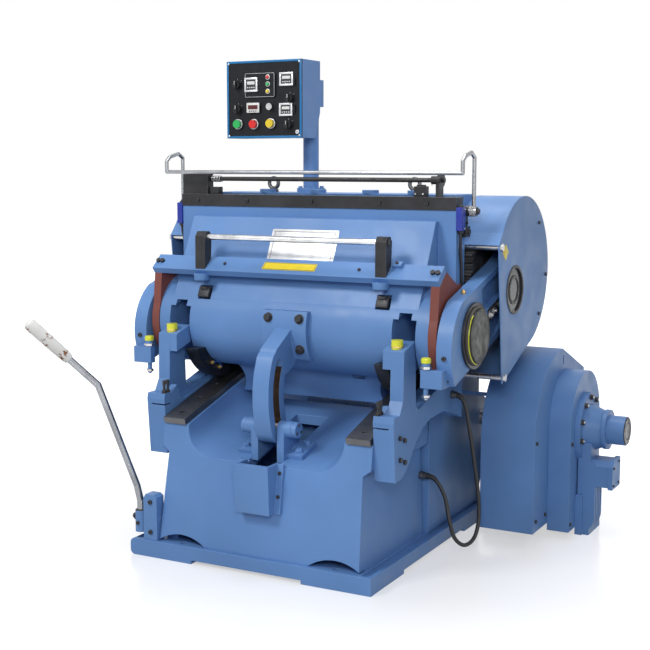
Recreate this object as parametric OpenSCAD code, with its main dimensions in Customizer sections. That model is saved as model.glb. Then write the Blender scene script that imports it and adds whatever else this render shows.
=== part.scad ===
// Platen die-cutting and creasing machine: a heavy platen rolls on inclined
// rails, pulled shut against an upright bed by two connecting rods.
// Millimetres; X to the operator's right, Y to the back, Z up. The origin is
// on the floor, in the middle of the four anchor holes.

/* [Base] */
// Width of the base plate
base_w = 1070; // [1020:10:1140]
// How far the base plate reaches out further on the lever's side
base_shift = 35; // [20:5:50]
// Depth of the base plate
base_d = 1200; // [1160:10:1260]
// Thickness of the base plate
base_t = 67; // [50:1:90]
// Height of the relief between the corner feet
foot_relief = 15; // [8:1:25]
// Distance of the anchor holes from the front and back edges of the base
anchor_edge = 40; // [36:1:44]
// Distance of the anchor holes inside the sides of the pedestal
anchor_inset = 102; // [95:1:120]
// Diameter of the anchor holes
anchor_d = 26; // [18:1:36]
// Width of the pedestal at its foot
pedestal_w = 884; // [860:2:900]
// Distance from the front of the base to the foot of the pedestal
pedestal_inset = 20; // [10:1:40]
// Lean of the pedestal's front face over its height
pedestal_lean = 56; // [30:1:70]
// Wall of the hollow pedestal
pedestal_wall = 36; // [24:1:50]

/* [Rolling track] */
// Slope of the rails, up to the back
rail_tilt = 16; // [14:0.5:18]
// Platen axis at rest, along Y
axis_y = -150; // [-155:1:-145]
// Platen axis at rest, above the floor
axis_z = 910; // [900:1:920]
// Rolling radius of the rockers
rocker_r = 240; // [236:0.5:244]
// Distance of the rockers inside the side of the platen
rocker_in_x = 170; // [168:0.5:173]
// Width of a rocker
rocker_w = 55; // [45:1:60]
// Thickness of the hardened rails
rail_t = 25; // [18:1:32]
// Width of the rails
rail_w = 100; // [85:1:105]
// Length of the rails
rail_len = 510; // [490:5:520]
// Depth of the saddle below the rails
saddle_drop = 108; // [100:1:125]

/* [Cheeks] */
// Distance of the cheeks inside the side of the platen
cheek_in_x = 77; // [72:1:85]
// Thickness of a cheek column
column_t = 53; // [44:1:60]
// Width of the guiding lug at the top of a cheek
lug_w = 86; // [75:1:86]
// Height of the guiding lug
lug_h = 70; // [55:1:80]

/* [Platen] */
// Width of the platen
platen_w = 1240; // [1220:5:1244]
// Top of the platen above its axis
platen_top = 466; // [440:2:480]
// Thickness of the platen plate
plate_t = 85; // [70:1:90]
// Working face of the platen, behind its axis
face_y = 110; // [108:1:112]
// Radius of the drum that holds the trunnions
drum_r = 185; // [180:1:188]
// Step from the side of the platen in to the end of the drum
drum_step = 20; // [19:0.5:22]
// Lean of the front panel between the drum and the top
panel_lean = 25.5; // [22:0.5:28]
// Step from the side of the platen in to the side of the front panel
panel_step = 73; // [60:1:100]
// Thickness of the drum's wall
drum_wall = 38; // [30:1:45]
// Diameter of the trunnion pins
trunnion_d = 120; // [100:2:130]

/* [Crank and gears] */
// Crank axis along Y
crank_y = 260; // [256:1:270]
// Crank axis above the floor
crank_z = 1115; // [1110:1:1120]
// Throw of the crank
crank_r = 105; // [95:1:110]
// Teeth of a bull gear
bull_teeth = 68; // [64:1:69]
// Teeth of the pinions that drive the bull gears
pinion_teeth = 17; // [15:1:20]
// Module of the bull gears
bull_module = 8; // [7.5:0.25:8]
// Face width of the bull gears
bull_w = 58; // [40:1:60]
// Teeth of the countershaft wheel
wheel_teeth = 120; // [110:2:124]
// Teeth of the drive pinion
drive_teeth = 24; // [20:1:28]
// Module of the countershaft wheel
wheel_module = 6; // [5.5:0.25:6]
// Clearance between the platen and a connecting rod
rod_clear = 25; // [23:0.5:30]
// Thickness of the connecting rods
rod_t = 60; // [50:1:62]

/* [Drive] */
// Drive axis along Y
drive_y = 600; // [590:1:610]
// Drive axis above the floor
drive_z = 440; // [435:1:450]
// Diameter of the drive shaft
drive_d = 70; // [50:2:76]
// Radius of the flywheel
flywheel_r = 280; // [255:1:282]
// Radius of the flywheel guard
flywheel_guard_r = 352; // [348:1:356]
// Inner side of the flywheel guard, inside the connecting rods
guard2_in = 40; // [30:1:44]
// Width of the flywheel guard
guard2_w = 228; // [222:1:235]
// Width of the clutch guard
guard3_w = 92; // [80:1:110]
// Wall of the sheet-metal guards
sheet_t = 4; // [3:0.5:6]

/* [Bed and controls] */
// Distance of the bed's sides inside the side of the platen
bed_in_x = 60; // [57:1:70]
// Top of the bed above the floor
bed_top = 1430; // [1400:5:1450]
// Thickness of the bed's face plate
bed_t = 60; // [45:1:70]
// Thickness of the chase on the bed
chase_t = 24; // [18:1:26]
// Width of the control box
box_w = 356; // [340:2:380]
// Height of the control box
box_h = 315; // [300:1:340]
// Depth of the control box
box_d = 150; // [120:1:160]
// Bottom of the control box above the floor
box_z = 1655; // [1640:5:1700]
// Diameter of the control post
post_d = 66; // [48:1:70]

/* [Hidden] */
$fn = 48;

enamel = [0.40, 0.53, 0.76];
dark_steel = [0.16, 0.16, 0.18];
bright = [0.75, 0.76, 0.78];
primer = [0.55, 0.27, 0.24];
yellow = [0.93, 0.88, 0.1];
big = 3000;
eps = 0.01;
// clearance between pieces that move past each other, and running fit of a shaft
gap = 0.3;
fit = 0.05;

// ---- shared geometry -------------------------------------------------------
st = sin(rail_tilt);
ct = cos(rail_tilt);
// height of the rail surface above the floor at y
function rail_z(y) = axis_z + (y - axis_y) * st / ct - rocker_r / ct;
function polar(r, a) = [r * cos(a), r * sin(a)];
function turn(p, a) = [p[0] * cos(a) - p[1] * sin(a), p[0] * sin(a) + p[1] * cos(a)];
function arc(c, r, a0, a1, n) = [for (i = [0:n]) c + polar(r, a0 + (a1 - a0) * i / n)];
function norm_angle(p) = atan2(p[1], p[0]);

// stations across the machine, all from the width of the platen
phw = platen_w / 2;
rocker_x = phw - rocker_in_x;
cheek_x = phw - cheek_in_x;
rod_x = phw + rod_clear;
panel_w = platen_w - 2 * panel_step;
bed_hw = phw - bed_in_x;
guard2_x = rod_x - guard2_in;
anchor_x = pedestal_w - 2 * anchor_inset;
anchor_y = base_d - 2 * anchor_edge;

axis_p = [axis_y, axis_z];
crank_p = [crank_y, crank_z];
drive_p = [drive_y, drive_z];
// crank centre in the tilted frame of the rails
crank_uv = turn(crank_p - axis_p, -rail_tilt);
rod_len = norm(crank_uv) + crank_r;
rod_angle = norm_angle(crank_uv);
stroke = sqrt(pow(rod_len + crank_r, 2) - pow(crank_uv[1], 2)) - crank_uv[0];
roll_max = stroke / rocker_r * 180 / PI;
// axis of the crank pin, in the tilted frame
pin_uv = polar(rod_len, rod_angle);

// a place fixed to the base, seen from the platen as it rolls open by a degrees
function in_platen(p, a) = turn(p - axis_p
  + (a * PI / 180 * rocker_r) * [ct, st], -a);

bull_r = bull_module * bull_teeth / 2;
pinion_r = bull_module * pinion_teeth / 2;
wheel_r = wheel_module * wheel_teeth / 2;
drive_r = wheel_module * drive_teeth / 2;
// the countershaft lies where both centre distances meet
shaft_d1 = bull_r + pinion_r;
shaft_d2 = wheel_r + drive_r;
span = norm(drive_p - crank_p);
along_span = (shaft_d1 * shaft_d1 - shaft_d2 * shaft_d2 + span * span) / (2 * span);
off_span = sqrt(max(0, shaft_d1 * shaft_d1 - along_span * along_span));
span_dir = (drive_p - crank_p) / span;
counter_p = crank_p + along_span * span_dir + off_span * [-span_dir[1], span_dir[0]];

module along_x(x0, x1) translate([x0, 0, 0]) rotate([90, 0, 90])
  linear_extrude(x1 - x0) children();
module at_axis() translate([0, axis_y, axis_z]) children();
module tilted() at_axis() rotate([rail_tilt, 0, 0]) children();
// extrudes an X-Z outline from front to back
module along_y(y0, y1) translate([0, y1, 0]) rotate([90, 0, 0])
  linear_extrude(y1 - y0) children();
// extrudes an X-V outline along the rails
module along_u(u0, u1) tilted() translate([0, u1, 0]) rotate([90, 0, 0])
  linear_extrude(u1 - u0) children();
module both() { children(); mirror([1, 0, 0]) children(); }
module rod_x_dir(r, x0, x1) along_x(x0, x1) circle(r);
module hex(af, h) cylinder(h = h, r = af / 2 / cos(30), $fn = 6);
module hex_bolt(af, h, d, len) {
  hex(af, h);
  translate([0, 0, -len]) cylinder(h = len, d = d, $fn = 24);
}
module rounded(w, h, r) hull() for (x = [r, w - r], y = [r, h - r])
  translate([x, y]) circle(r, $fn = 24);

// straight-flanked gear tooth outline, with a tooth centred on angle a
function gear_points(m, z, a) = let(r = m * z / 2, half = PI * m / 4 - 0.09 * m)
  [for (i = [0:z - 1], k = [0:3])
    let(rr = [r - 1.2 * m, r + 0.85 * m, r + 0.85 * m, r - 1.2 * m][k],
        hw = [half + 0.42 * m, half - 0.34 * m, half - 0.34 * m, half + 0.42 * m][k],
        sg = k < 2 ? -1 : 1)
    polar(rr, a + 360 * i / z + sg * hw / rr * 180 / PI)];
module gear(m, z, a) polygon(gear_points(m, z, a));

// ---- base ------------------------------------------------------------------
bw = base_w / 2;
base_l = -bw - base_shift;
base_r = bw - base_shift;
bd = base_d / 2;
pw = pedestal_w / 2;
foot_len = 290;
ped_front = -bd + pedestal_inset;
ped_back = -5;
seat_v = -rocker_r - rail_t;
saddle_v = seat_v - saddle_drop;
rail_x1 = rocker_x + 5;
rail_x0 = rail_x1 - rail_w;
rail_u1 = 56;
rail_u0 = rail_u1 - rail_len;
shoulder_x = rail_x1 + 5;
shoulder_in = rail_x0 - 10;
front_top = 418;
slot_x = 72;
slot_y0 = -505;
slot_y1 = -120;

module anchors(d, h) for (x = [-1, 1], y = [-1, 1])
  translate([x * anchor_x / 2, y * anchor_y / 2, 0]) cylinder(h = h, d = d);

module base_plate() color(enamel) difference() {
  union() {
    translate([base_l + 20, -bd, 0]) cube([base_w - 20, base_d, base_t]);
    translate([base_l, -bd, 20]) cube([40, base_d, base_t - 40]);
    for (z = [20, base_t - 20]) translate([base_l + 20, 0, z]) rotate([90, 0, 0])
      cylinder(h = base_d, r = 20, center = true);
  }
  translate([0, 0, -1]) anchors(anchor_d, base_t + 2);
  translate([base_l + foot_len, -bd - 1, -1])
    cube([base_w - 2 * foot_len, base_d + 2, foot_relief + 1]);
  translate([base_l - 1, -bd + foot_len, -1])
    cube([base_w + 2, base_d - 2 * foot_len, foot_relief + 1]);
  // oil trough behind a raised lip, beside the pedestal
  for (x = [base_l + 17, base_r - 47]) translate([x, -bd + 16, base_t - 12])
    cube([30, base_d - 32, 13]);
}

module saddle_outline(v1) {
  r = saddle_drop;
  translate([-shoulder_in, seat_v]) square([2 * shoulder_in, v1 - seat_v]);
  translate([-shoulder_in + r, saddle_v]) square([2 * (shoulder_in - r), v1 - saddle_v]);
  for (s = [-1, 1]) translate([s * (shoulder_in - r), seat_v]) circle(r, $fn = 64);
}

module pedestal_side(top_shift, wall) polygon([
  [ped_front + wall, base_t],
  [ped_front + pedestal_lean + wall, front_top],
  [ped_front + pedestal_lean + 18 + wall, rail_z(ped_front + pedestal_lean + 18) + top_shift],
  [ped_back - wall, rail_z(ped_back - wall) + top_shift],
  [ped_back - wall, base_t]]);
// the flanks lean in a little, then widen under the rails
module pedestal_front() polygon([[-pw, base_t], [-pw + 14, front_top], [-shoulder_x, front_top + 24],
  [-shoulder_x, big], [shoulder_x, big], [shoulder_x, front_top + 24], [pw - 14, front_top],
  [pw, base_t]]);

module pedestal() color(enamel) difference() {
  intersection() {
    along_x(-big, big) pedestal_side((seat_v + rocker_r) / ct, 0);
    along_y(-big, big) pedestal_front();
  }
  along_u(-big, big) saddle_outline(big);
  // hollow inside, open to the base plate
  along_x(-pw + pedestal_wall + 14, pw - pedestal_wall - 14)
    pedestal_side((saddle_v + rocker_r - pedestal_wall) / ct, pedestal_wall);
  // slot for the guide arm, through the saddle and the front wall
  translate([-slot_x, slot_y0, base_t + 190]) cube([2 * slot_x, slot_y1 - slot_y0, big]);
  translate([-well_in, -bd - 100, well_z + 12]) cube([2 * well_in, 200, big]);
  // low arched niches over the front anchor bolts
  for (s = [-1, 1]) translate([s * anchor_x / 2, ped_front - 1, base_t - 152])
    rotate([-90, 0, 0]) cylinder(h = pedestal_wall + 20, r = 188, $fn = 96);
}

module rails() color(dark_steel) both() tilted() difference() {
  translate([rail_x0, rail_u0, -rocker_r - rail_t]) cube([rail_w, rail_len, rail_t]);
  for (u = [60:130:rail_len]) translate([rail_x0 + rail_w / 2, rail_u0 + u, -rocker_r - 8])
    cylinder(h = 9, r = 9, $fn = 24);
}

well_x = 75;
well_in = 63;
well_z = 240;
well_top = 428;
module arm_well() color(enamel) difference() {
  union() {
    along_x(-well_x, well_x) polygon([[-bd + 2, well_z], [-bd - 8, well_top],
      [ped_front + pedestal_lean + 4, well_top], [ped_front + 0.4 * pedestal_lean, well_z]]);
    along_x(-well_x - 26, well_x + 26) polygon([
      [ped_front - 10 + pedestal_lean * 0.48, well_z], [ped_front - 10 + pedestal_lean, well_top],
      [ped_front + pedestal_lean + 4, well_top], [ped_front + 4 + pedestal_lean * 0.48, well_z]]);
  }
  along_x(-well_in, well_in) polygon([[-bd + 14, well_z + 12], [-bd + 4, big], [0, big],
    [0, well_z + 12]]);
  along_x(-big, big) polygon([[ped_front, base_t], [ped_front + pedestal_lean, front_top],
    [ped_front + pedestal_lean + 6, big], [big, big], [big, base_t]]);
}

// ---- cheeks ----------------------------------------------------------------
lug_y0 = -420;
lug_y1 = -324;
lug_z = 873;
lug_rise = (lug_y1 - lug_y0) * st / ct;
cheek_in = cheek_x - lug_w;
cheek_top = 800;
ledge_z = 643;
module cheek_outline() polygon([[-490, 400], [-507, 620], [-502, ledge_z], [-454, ledge_z],
  [lug_y0 - 6, 690], [lug_y0, lug_z], [lug_y1, lug_z + lug_rise], [lug_y1 + 8, 800],
  [lug_y1 + 14, rail_z(lug_y1 + 14) + 40], [lug_y1 + 40, rail_z(lug_y1 + 40) + 14],
  [-60, rail_z(-60) + 14], [-30, 740], [8, 800], [150, 800], [150, 529], [60, 560],
  [-40, 588], [-172, 581], [-245, 558], [-316, 506], [-383, 433], [-430, 404]]);
module cheek() color(enamel) {
  difference() {
    along_x(shoulder_x, cheek_x) cheek_outline();
    // column is thinner than the foot
    along_x(shoulder_x - 1, cheek_x - column_t) difference() {
      polygon([[-big, ledge_z], [-454, ledge_z], [-420, 668], [-380, rail_z(-380) + 6],
        [ped_back, rail_z(ped_back) + 6], [ped_back, 741], [8, 801], [big, 801], [big, big],
        [-big, big]]);
    }
    // clamp slit at the front of the rail seat
    along_x(shoulder_x - 1, cheek_x - 20) translate([-big, 596]) square([big - 455, 6]);
  }
  // overhanging lug, parallel to the rail
  along_x(cheek_in, cheek_x - column_t + eps) polygon([[lug_y0, lug_z - lug_h], [lug_y0, lug_z],
    [lug_y1, lug_z + lug_rise], [lug_y1 + 3, lug_z + lug_rise - lug_h]]);
}
module cheek_right() cheek();
module cheek_left() mirror([1, 0, 0]) cheek();

module cheek_screws() color(dark_steel) both() {
  for (y = [-490, -466]) translate([shoulder_x + 12, y, ledge_z]) {
    cylinder(h = 12, r = 11, $fn = 6);
    cylinder(h = 44, r = 5);
    translate([0, 0, 34]) cylinder(h = 18, r = 7);
  }
  for (p = [[-452, 478], [-412, 462], [-456, 560], [-416, 545]])
    translate([cheek_x, p[0], p[1]]) rotate([0, 90, 0]) cylinder(h = 9, r = 9, $fn = 24);
}

cup_y = -388;
cup_r = 22;
cup_h = 28;
module cheek_oil_cups() color(yellow) both() translate([cheek_x - 43, cup_y,
    lug_z + (cup_y - lug_y0) * st / ct]) difference() {
  translate([0, 0, -12]) cylinder(h = cup_h + 12, r = cup_r);
  rotate([rail_tilt, 0, 0]) translate([-50, -50, -60]) cube([100, 100, 60]);
}

// ---- guide arm, its cam slot and its pin -----------------------------------
pin_p = [-450, 545];
pin_r = 22;
slot_c = 0.5;
arm_x = 35;
arm_n = 24;
function cam_at(i) = in_platen(pin_p, roll_max * i / arm_n);
function cam_normal(i) = let(d = cam_at(min(i + 1, arm_n)) - cam_at(max(i - 1, 0)))
  [-d[1], d[0]] / norm(d);
module cam_band(w) {
  polygon(concat([for (i = [0:arm_n]) cam_at(i) + w * cam_normal(i)],
    [for (i = [arm_n:-1:0]) cam_at(i) - w * cam_normal(i)]));
  for (i = [0, arm_n]) translate(cam_at(i)) circle(w);
}
module guide_arm() color(enamel) at_axis() difference() {
  union() {
    along_x(-arm_x, arm_x) difference() {
      union() {
        cam_band(58);
        polygon([cam_at(arm_n) + [-56, 10], cam_at(arm_n) + [-20, 62], [-150, 40],
          [-150, -120], [-238, -160], cam_at(arm_n - 8) + [10, 0]]);
      }
      circle(drum_r + 24);
    }
    // foot plate on the drum, between two raised side pads
    intersection() {
      along_x(-100, 100) difference() {
        circle(drum_r + 24);
        circle(drum_r + 0.1);
      }
      translate([-100, -big, -115]) cube([200, big, 190]);
    }
  }
  along_x(-big, big) cam_band(pin_r + slot_c);
}
module cam_pin() color(bright) {
  translate([0, pin_p[0], pin_p[1]]) {
    rod_x_dir(pin_r, -arm_x - 4, arm_x + 4);
    rod_x_dir(15, -118, 118);
  }
}
// height of the trough of the saddle at y
function saddle_z(y) = rail_z(y) + (saddle_v + rocker_r) / ct;
ear_x0 = 42;
ear_x1 = 72;
module cam_pin_brackets() color(enamel) both() difference() {
  union() {
    along_x(ear_x0, ear_x1) {
      translate(pin_p) circle(32);
      polygon([pin_p + [-32, 0], pin_p + [0, -32], pin_p + [20, 25], [pin_p[0] + 96,
        saddle_z(pin_p[0] + 96) + 18], [pin_p[0] + 96, saddle_z(pin_p[0] + 96) - 10],
        [pin_p[0] - 32, saddle_z(pin_p[0] - 32) - 10]]);
    }
    translate([0, pin_p[0], pin_p[1]]) rod_x_dir(32, ear_x0, 100);
    tilted() translate([ear_x1 - eps, -430, saddle_v]) cube([70, 120, 18]);
  }
  translate([0, pin_p[0], pin_p[1]]) rod_x_dir(15 + fit, -200, 200);
  tilted() for (u = [-405, -335]) translate([slot_x + 46, u, saddle_v]) cylinder(h = 40, r = 6);
}

// ---- bed -------------------------------------------------------------------
frame_x1 = shoulder_x;
frame_x0 = frame_x1 - 60;
bed_y0 = axis_y + face_y + chase_t + 26;
gear_x1 = rod_x - 8;
gear_x0 = gear_x1 - bull_w;
boss_end = gear_x0 - 1;
deck_d = 210;
module frame_outline() polygon([[bed_y0 + 2, base_t], [bed_y0 + 2, bed_top - 60],
  [bed_y0 + deck_d, bed_top - 60], [crank_y + 130, crank_z + 120], [crank_y + 150, crank_z - 60],
  counter_p + [80, 40], counter_p + [80, -80], [bd - 40, drive_z + 120],
  [drive_y + 80, drive_z + 60], [drive_y + 80, drive_z - 70], [bd - 20, base_t + 60],
  [bd - 20, base_t]]);
module bed() color(enamel) difference() {
  union() {
    translate([-bed_hw, bed_y0, cheek_top]) cube([2 * bed_hw, bed_t, bed_top - cheek_top]);
    translate([-frame_x1, bed_y0, 640]) cube([2 * frame_x1, bed_t, bed_top - 640]);
    translate([-bed_hw, bed_y0 + bed_t, bed_top - 90]) cube([2 * bed_hw, deck_d - bed_t, 90]);
    both() {
      along_x(frame_x0, frame_x1) frame_outline();
      translate([0, crank_y, crank_z]) rod_x_dir(92, frame_x1 - 1, boss_end);
    }
    for (x = [-300, -60, 180, 380]) translate([x, bed_y0 + 30, bed_top - 1])
      cylinder(h = 16, r = 34);
  }
  both() translate([0, crank_y, crank_z]) rod_x_dir(45 + fit, frame_x0 - 1, boss_end + 1);
  translate([0, counter_p[0], counter_p[1]]) rod_x_dir(35 + fit, -big, big);
  translate([0, drive_p[0], drive_p[1]]) rod_x_dir(drive_d / 2 + fit, -big, big);
}
module chase() color(dark_steel) difference() {
  translate([20 - bed_hw, bed_y0 - chase_t, cheek_top + 5])
    cube([2 * bed_hw - 40, chase_t, bed_top - cheek_top - 45]);
  translate([60 - bed_hw, bed_y0 - chase_t - 1, cheek_top + 45])
    cube([2 * bed_hw - 120, chase_t - 7, bed_top - cheek_top - 125]);
}
module gear_studs() color(bright) both() translate([0, crank_y, crank_z]) {
  rod_x_dir(45, frame_x0, gear_x1);
  rod_x_dir(60, frame_x0 - 14, frame_x0);
}
module lifting_eyes() color(dark_steel) for (x = [-330, 330])
  translate([x, bed_y0 + 130, bed_top]) {
    cylinder(h = 12, r = 20);
    translate([0, 0, 38]) rotate([90, 0, 0]) rotate_extrude() translate([22, 0]) circle(8);
    cylinder(h = 20, r = 9);
  }

// ---- gear guards -----------------------------------------------------------
guard_x1 = rod_x + rod_t + 50;
guard_x0 = bed_hw;
guard_r = bull_r + bull_module + 26;
guard_c = crank_p + [5, 2];
front_low = [crank_y - 228, 700];
front_high = [crank_y - 287, crank_z + 128];
module guard_solid(k, x0, x1) difference() {
  r = guard_r - k;
  union() {
    translate([0, guard_c[0], guard_c[1]]) rod_x_dir(r, x0, x1);
    along_x(x0, x1) polygon([front_low + [k, k * 1.2], front_high + [k, 0], guard_c + polar(r, 146),
      guard_c, guard_c + polar(r, -62)]);
  }
  along_x(x0 - 1, x1 + 1) polygon([front_low + [k, 0], front_high + [k, 0],
    guard_c + polar(r, 146), front_high + [k, big], [-big, big], [-big, 0],
    [front_low[0] + k, 0]]);
}
module gear_guard() color(enamel) difference() {
  guard_solid(0, guard_x0, guard_x1);
  guard_solid(sheet_t, guard_x0 - 1, guard_x1 - sheet_t);
  // open front for the connecting rod
  along_x(guard_x0 - 1, guard_x1 - sheet_t) polygon([[crank_y - 400, 690],
    [crank_y - 200, 690], [crank_y - 100, crank_z - 240], [crank_y - 270, crank_z + 122],
    [crank_y - 400, crank_z + 160]]);
  // room for the pinion
  along_x(guard_x0 - 1, gear_x1 + 8) translate(counter_p) circle(pinion_r + bull_module + 8);
  // inspection window where the crank pin stands with the press open
  translate([0, crank_y - 100, crank_z - 57]) rod_x_dir(90, 0, big);
}
module gear_guard_right() gear_guard();
module gear_guard_left() mirror([1, 0, 0]) gear_guard();
tie_p = [[crank_y - 267, crank_z + 119], [crank_y - 212, 723]];
module guard_tie_rods() color(bright) both() for (p = tie_p)
  translate([0, p[0], p[1]]) {
    rod_x_dir(11, p[1] > 900 ? bed_hw : cheek_x, guard_x1 - sheet_t);
    translate([guard_x1, 0, 0]) rotate([0, 90, 0]) hex(26, 10);
  }

// ---- drive: flywheel, clutch, motor ----------------------------------------
guard2_x1 = guard2_x + guard2_w;
guard3_x1 = guard2_x1 + guard3_w;
fly_c = drive_p + [-38, -16];
// the sheet slopes down to the back over the belts; k is the inset of the inner side
module fly_outline(k) polygon([[fly_c[0] - flywheel_guard_r + k, 60 - eps],
  [fly_c[0] - flywheel_guard_r + k, fly_c[1]], fly_c + polar(flywheel_guard_r - k, 150),
  fly_c + polar(flywheel_guard_r - k, 120), [fly_c[0], fly_c[1] + flywheel_guard_r - 1.1 * k],
  [drive_y + 282 - 0.4 * k, drive_z + 210 - k], [drive_y + 300 - k, drive_z + 120],
  [drive_y + 300 - k, 60 - eps]]);
module fly_solid(k, x0, x1) {
  difference() {
    translate([0, fly_c[0], fly_c[1]]) rod_x_dir(flywheel_guard_r - k, x0, x1);
    along_x(x0 - 1, x1 + 1) polygon([[fly_c[0], -big], [fly_c[0], big], [big, big], [big, -big]]);
    along_x(x0 - 1, x1 + 1) translate([-big, fly_c[1] - big]) square([2 * big, big]);
  }
  along_x(x0, x1) fly_outline(k);
}
bar_p = [for (a = [150, 100]) drive_p + polar(flywheel_r + 32, a)];
module flywheel_guard() color(enamel) {
  difference() {
    fly_solid(0, guard2_x, guard2_x1);
    fly_solid(sheet_t, guard2_x - 1, guard2_x1 - sheet_t);
    translate([0, drive_y, drive_z]) rod_x_dir(82, 0, big);
    // lifting slot near the top
    translate([0, fly_c[0] + 14, fly_c[1] + 315]) rod_x_dir(7, 0, big);
    along_x(0, big) translate([fly_c[0] + 7, fly_c[1] + 285]) square([14, 30]);
    translate([0, fly_c[0] + 14, fly_c[1] + 285]) rod_x_dir(7, 0, big);
  }
  for (p = bar_p) translate([0, p[0], p[1]]) rod_x_dir(8, frame_x1, guard2_x1 - sheet_t);
}
clutch_r = 214;
clutch_c = drive_p + [12, 26];
module clutch_guard() color(enamel) difference() {
  union() {
    translate([0, clutch_c[0], clutch_c[1]]) rod_x_dir(clutch_r, guard2_x1, guard3_x1);
    translate([guard2_x1, clutch_c[0] - clutch_r, 30])
      cube([guard3_w, 2 * clutch_r, clutch_c[1] - 30]);
  }
  translate([0, clutch_c[0], clutch_c[1]])
    rod_x_dir(clutch_r - sheet_t, guard2_x1 - 1, guard3_x1 - sheet_t);
  translate([guard2_x1 - 1, clutch_c[0] - clutch_r + sheet_t, 20])
    cube([guard3_w + 1 - sheet_t, 2 * (clutch_r - sheet_t), clutch_c[1] - 20]);
  translate([0, drive_y, drive_z]) rod_x_dir(drive_d / 2 + 15, 0, big);
}
shaft_end = guard3_x1 + 180;
// the outboard bearing stands on a ribbed column
col_x0 = guard3_x1 + 5;
col_x1 = guard3_x1 + 79;
col_y0 = drive_y - 100;
module outboard_bracket() color(enamel) difference() {
  union() {
    translate([guard3_x1, drive_y, drive_z]) rotate([0, 90, 0]) {
      difference() {
        cylinder(h = 22, r = 150);
        translate([0, 0, -1]) cylinder(h = 30, r = 70);
      }
      cylinder(h = 92, r1 = 112, r2 = 76);
      translate([0, 0, 90]) cylinder(h = 18, r = 84);
      translate([0, 0, 106]) cylinder(h = 74, r = 61);
    }
    // column with its ribs, rounded at the outer corner of the foot
    along_x(col_x0, col_x1 - 22) polygon([[col_y0, 0], [col_y0, drive_z - 50],
      [drive_y - 20, drive_z - 20], [drive_y + 20, drive_z - 20], [drive_y + 70, 0]]);
    for (i = [0:4]) along_y(col_y0 + 24 * i, col_y0 + 24 * i + 12) {
      translate([col_x1 - 24, 80]) square([24, drive_z - 210]);
      translate([col_x1 - 80, 80]) circle(80);
    }
    // front plate of the column, beside the flange strip
    translate([col_x0 - 5, col_y0 - 12, 0]) cube([30, 12, 172]);
    // terminal box on the column, with its thick cover
    along_x(col_x1 - 30, col_x1 + 56) polygon([[col_y0, 212], [col_y0, 300], [col_y0 + 22, 322],
      [col_y0 + 108, 322], [col_y0 + 108, 212]]);
    along_x(col_x1 + 55, col_x1 + 74) polygon([[col_y0 - 6, 206], [col_y0 - 6, 302],
      [col_y0 + 20, 328], [col_y0 + 114, 328], [col_y0 + 114, 206]]);
  }
  translate([0, drive_y, drive_z]) rod_x_dir(drive_d / 2 + fit, 0, big);
  translate([-big, -big, -big]) cube([2 * big, 2 * big, big]);
  translate([0, -big, 0]) cube([guard3_x1, 2 * big, big]);
}
clutch_x = guard2_x1 + 8;
module drive_shaft() color(dark_steel) translate([0, drive_y, drive_z]) {
  rod_x_dir(drive_d / 2, -frame_x1 - 12, shaft_end);
  // drive pinion and the clutch disc keyed to the shaft
  along_x(frame_x0 - 152, frame_x0 - 88) gear(wheel_module, drive_teeth, norm_angle(counter_p - drive_p));
  rod_x_dir(150, clutch_x + 14, clutch_x + 60);
  rod_x_dir(70, clutch_x + 60, guard3_x1 - sheet_t - 3);
}
fly_x0 = guard2_x + 40;
fly_x1 = guard2_x1 - 33;
module flywheel() color(dark_steel) difference() {
  translate([0, drive_y, drive_z]) {
    difference() {
      rod_x_dir(flywheel_r, fly_x0, fly_x1);
      rod_x_dir(flywheel_r - 55, fly_x0 - 10, fly_x0 + 30);
      rod_x_dir(flywheel_r - 55, fly_x1 - 30, fly_x1 + 10);
    }
    rod_x_dir(75, fly_x0 - 10, clutch_x + 2);
  }
  translate([0, drive_y, drive_z]) {
    rod_x_dir(drive_d / 2 + fit, 0, big);
    for (i = [0:4]) translate([0, polar(148, 72 * i)[0], polar(148, 72 * i)[1]])
      rod_x_dir(42, guard2_x, guard2_x1 + 60);
  }
}
motor_p = [drive_y + 228, drive_z - 288];
motor_r = 90;
pulley_r = 45;
motor_x0 = guard2_x - 185;
module motor() color(enamel) {
  translate([0, motor_p[0], motor_p[1]]) {
    rod_x_dir(motor_r, motor_x0, guard2_x - 12);
    rod_x_dir(motor_r - 18, guard2_x - 12, guard2_x - 2);
    rod_x_dir(12, guard2_x - 2, fly_x1 - 32);
  }
  // foot plate, carried by the back edge of the base
  translate([motor_x0 - 20, bd, 0]) cube([180, motor_p[0] + 95 - bd, 24]);
  for (y = [-60, 40]) translate([motor_x0 + 30, motor_p[0] + y, 24]) cube([100, 20, 72]);
  translate([motor_x0 + 40, motor_p[0] - 45, motor_p[1] + motor_r - 10]) cube([80, 90, 55]);
}
module motor_pulley() color(dark_steel) translate([0, motor_p[0], motor_p[1]]) difference() {
  rod_x_dir(pulley_r, fly_x0 + 20, fly_x1 - 40);
  rod_x_dir(12 + fit, 0, big);
}
belt_d = norm(drive_p - motor_p);
belt_a = norm_angle(drive_p - motor_p);
belt_b = acos((pulley_r - flywheel_r) / belt_d);
// the straight runs of the belts start a hair inside the two circles
module belt_outline(k) let(r0 = (pulley_r + k) * 0.9995, r1 = (flywheel_r + k) * 0.9995) {
  translate(motor_p) circle(pulley_r + k);
  translate(drive_p) circle(flywheel_r + k);
  polygon([motor_p + polar(r0, belt_a + belt_b), drive_p + polar(r1, belt_a + belt_b),
    drive_p + polar(r1, belt_a - belt_b), motor_p + polar(r0, belt_a - belt_b)]);
}
module drive_belts() color(dark_steel) for (i = [0:2])
  along_x(fly_x0 + 45 + 22 * i, fly_x0 + 59 + 22 * i)
  difference() {
    belt_outline(10);
    belt_outline(0.4);
  }

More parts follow.
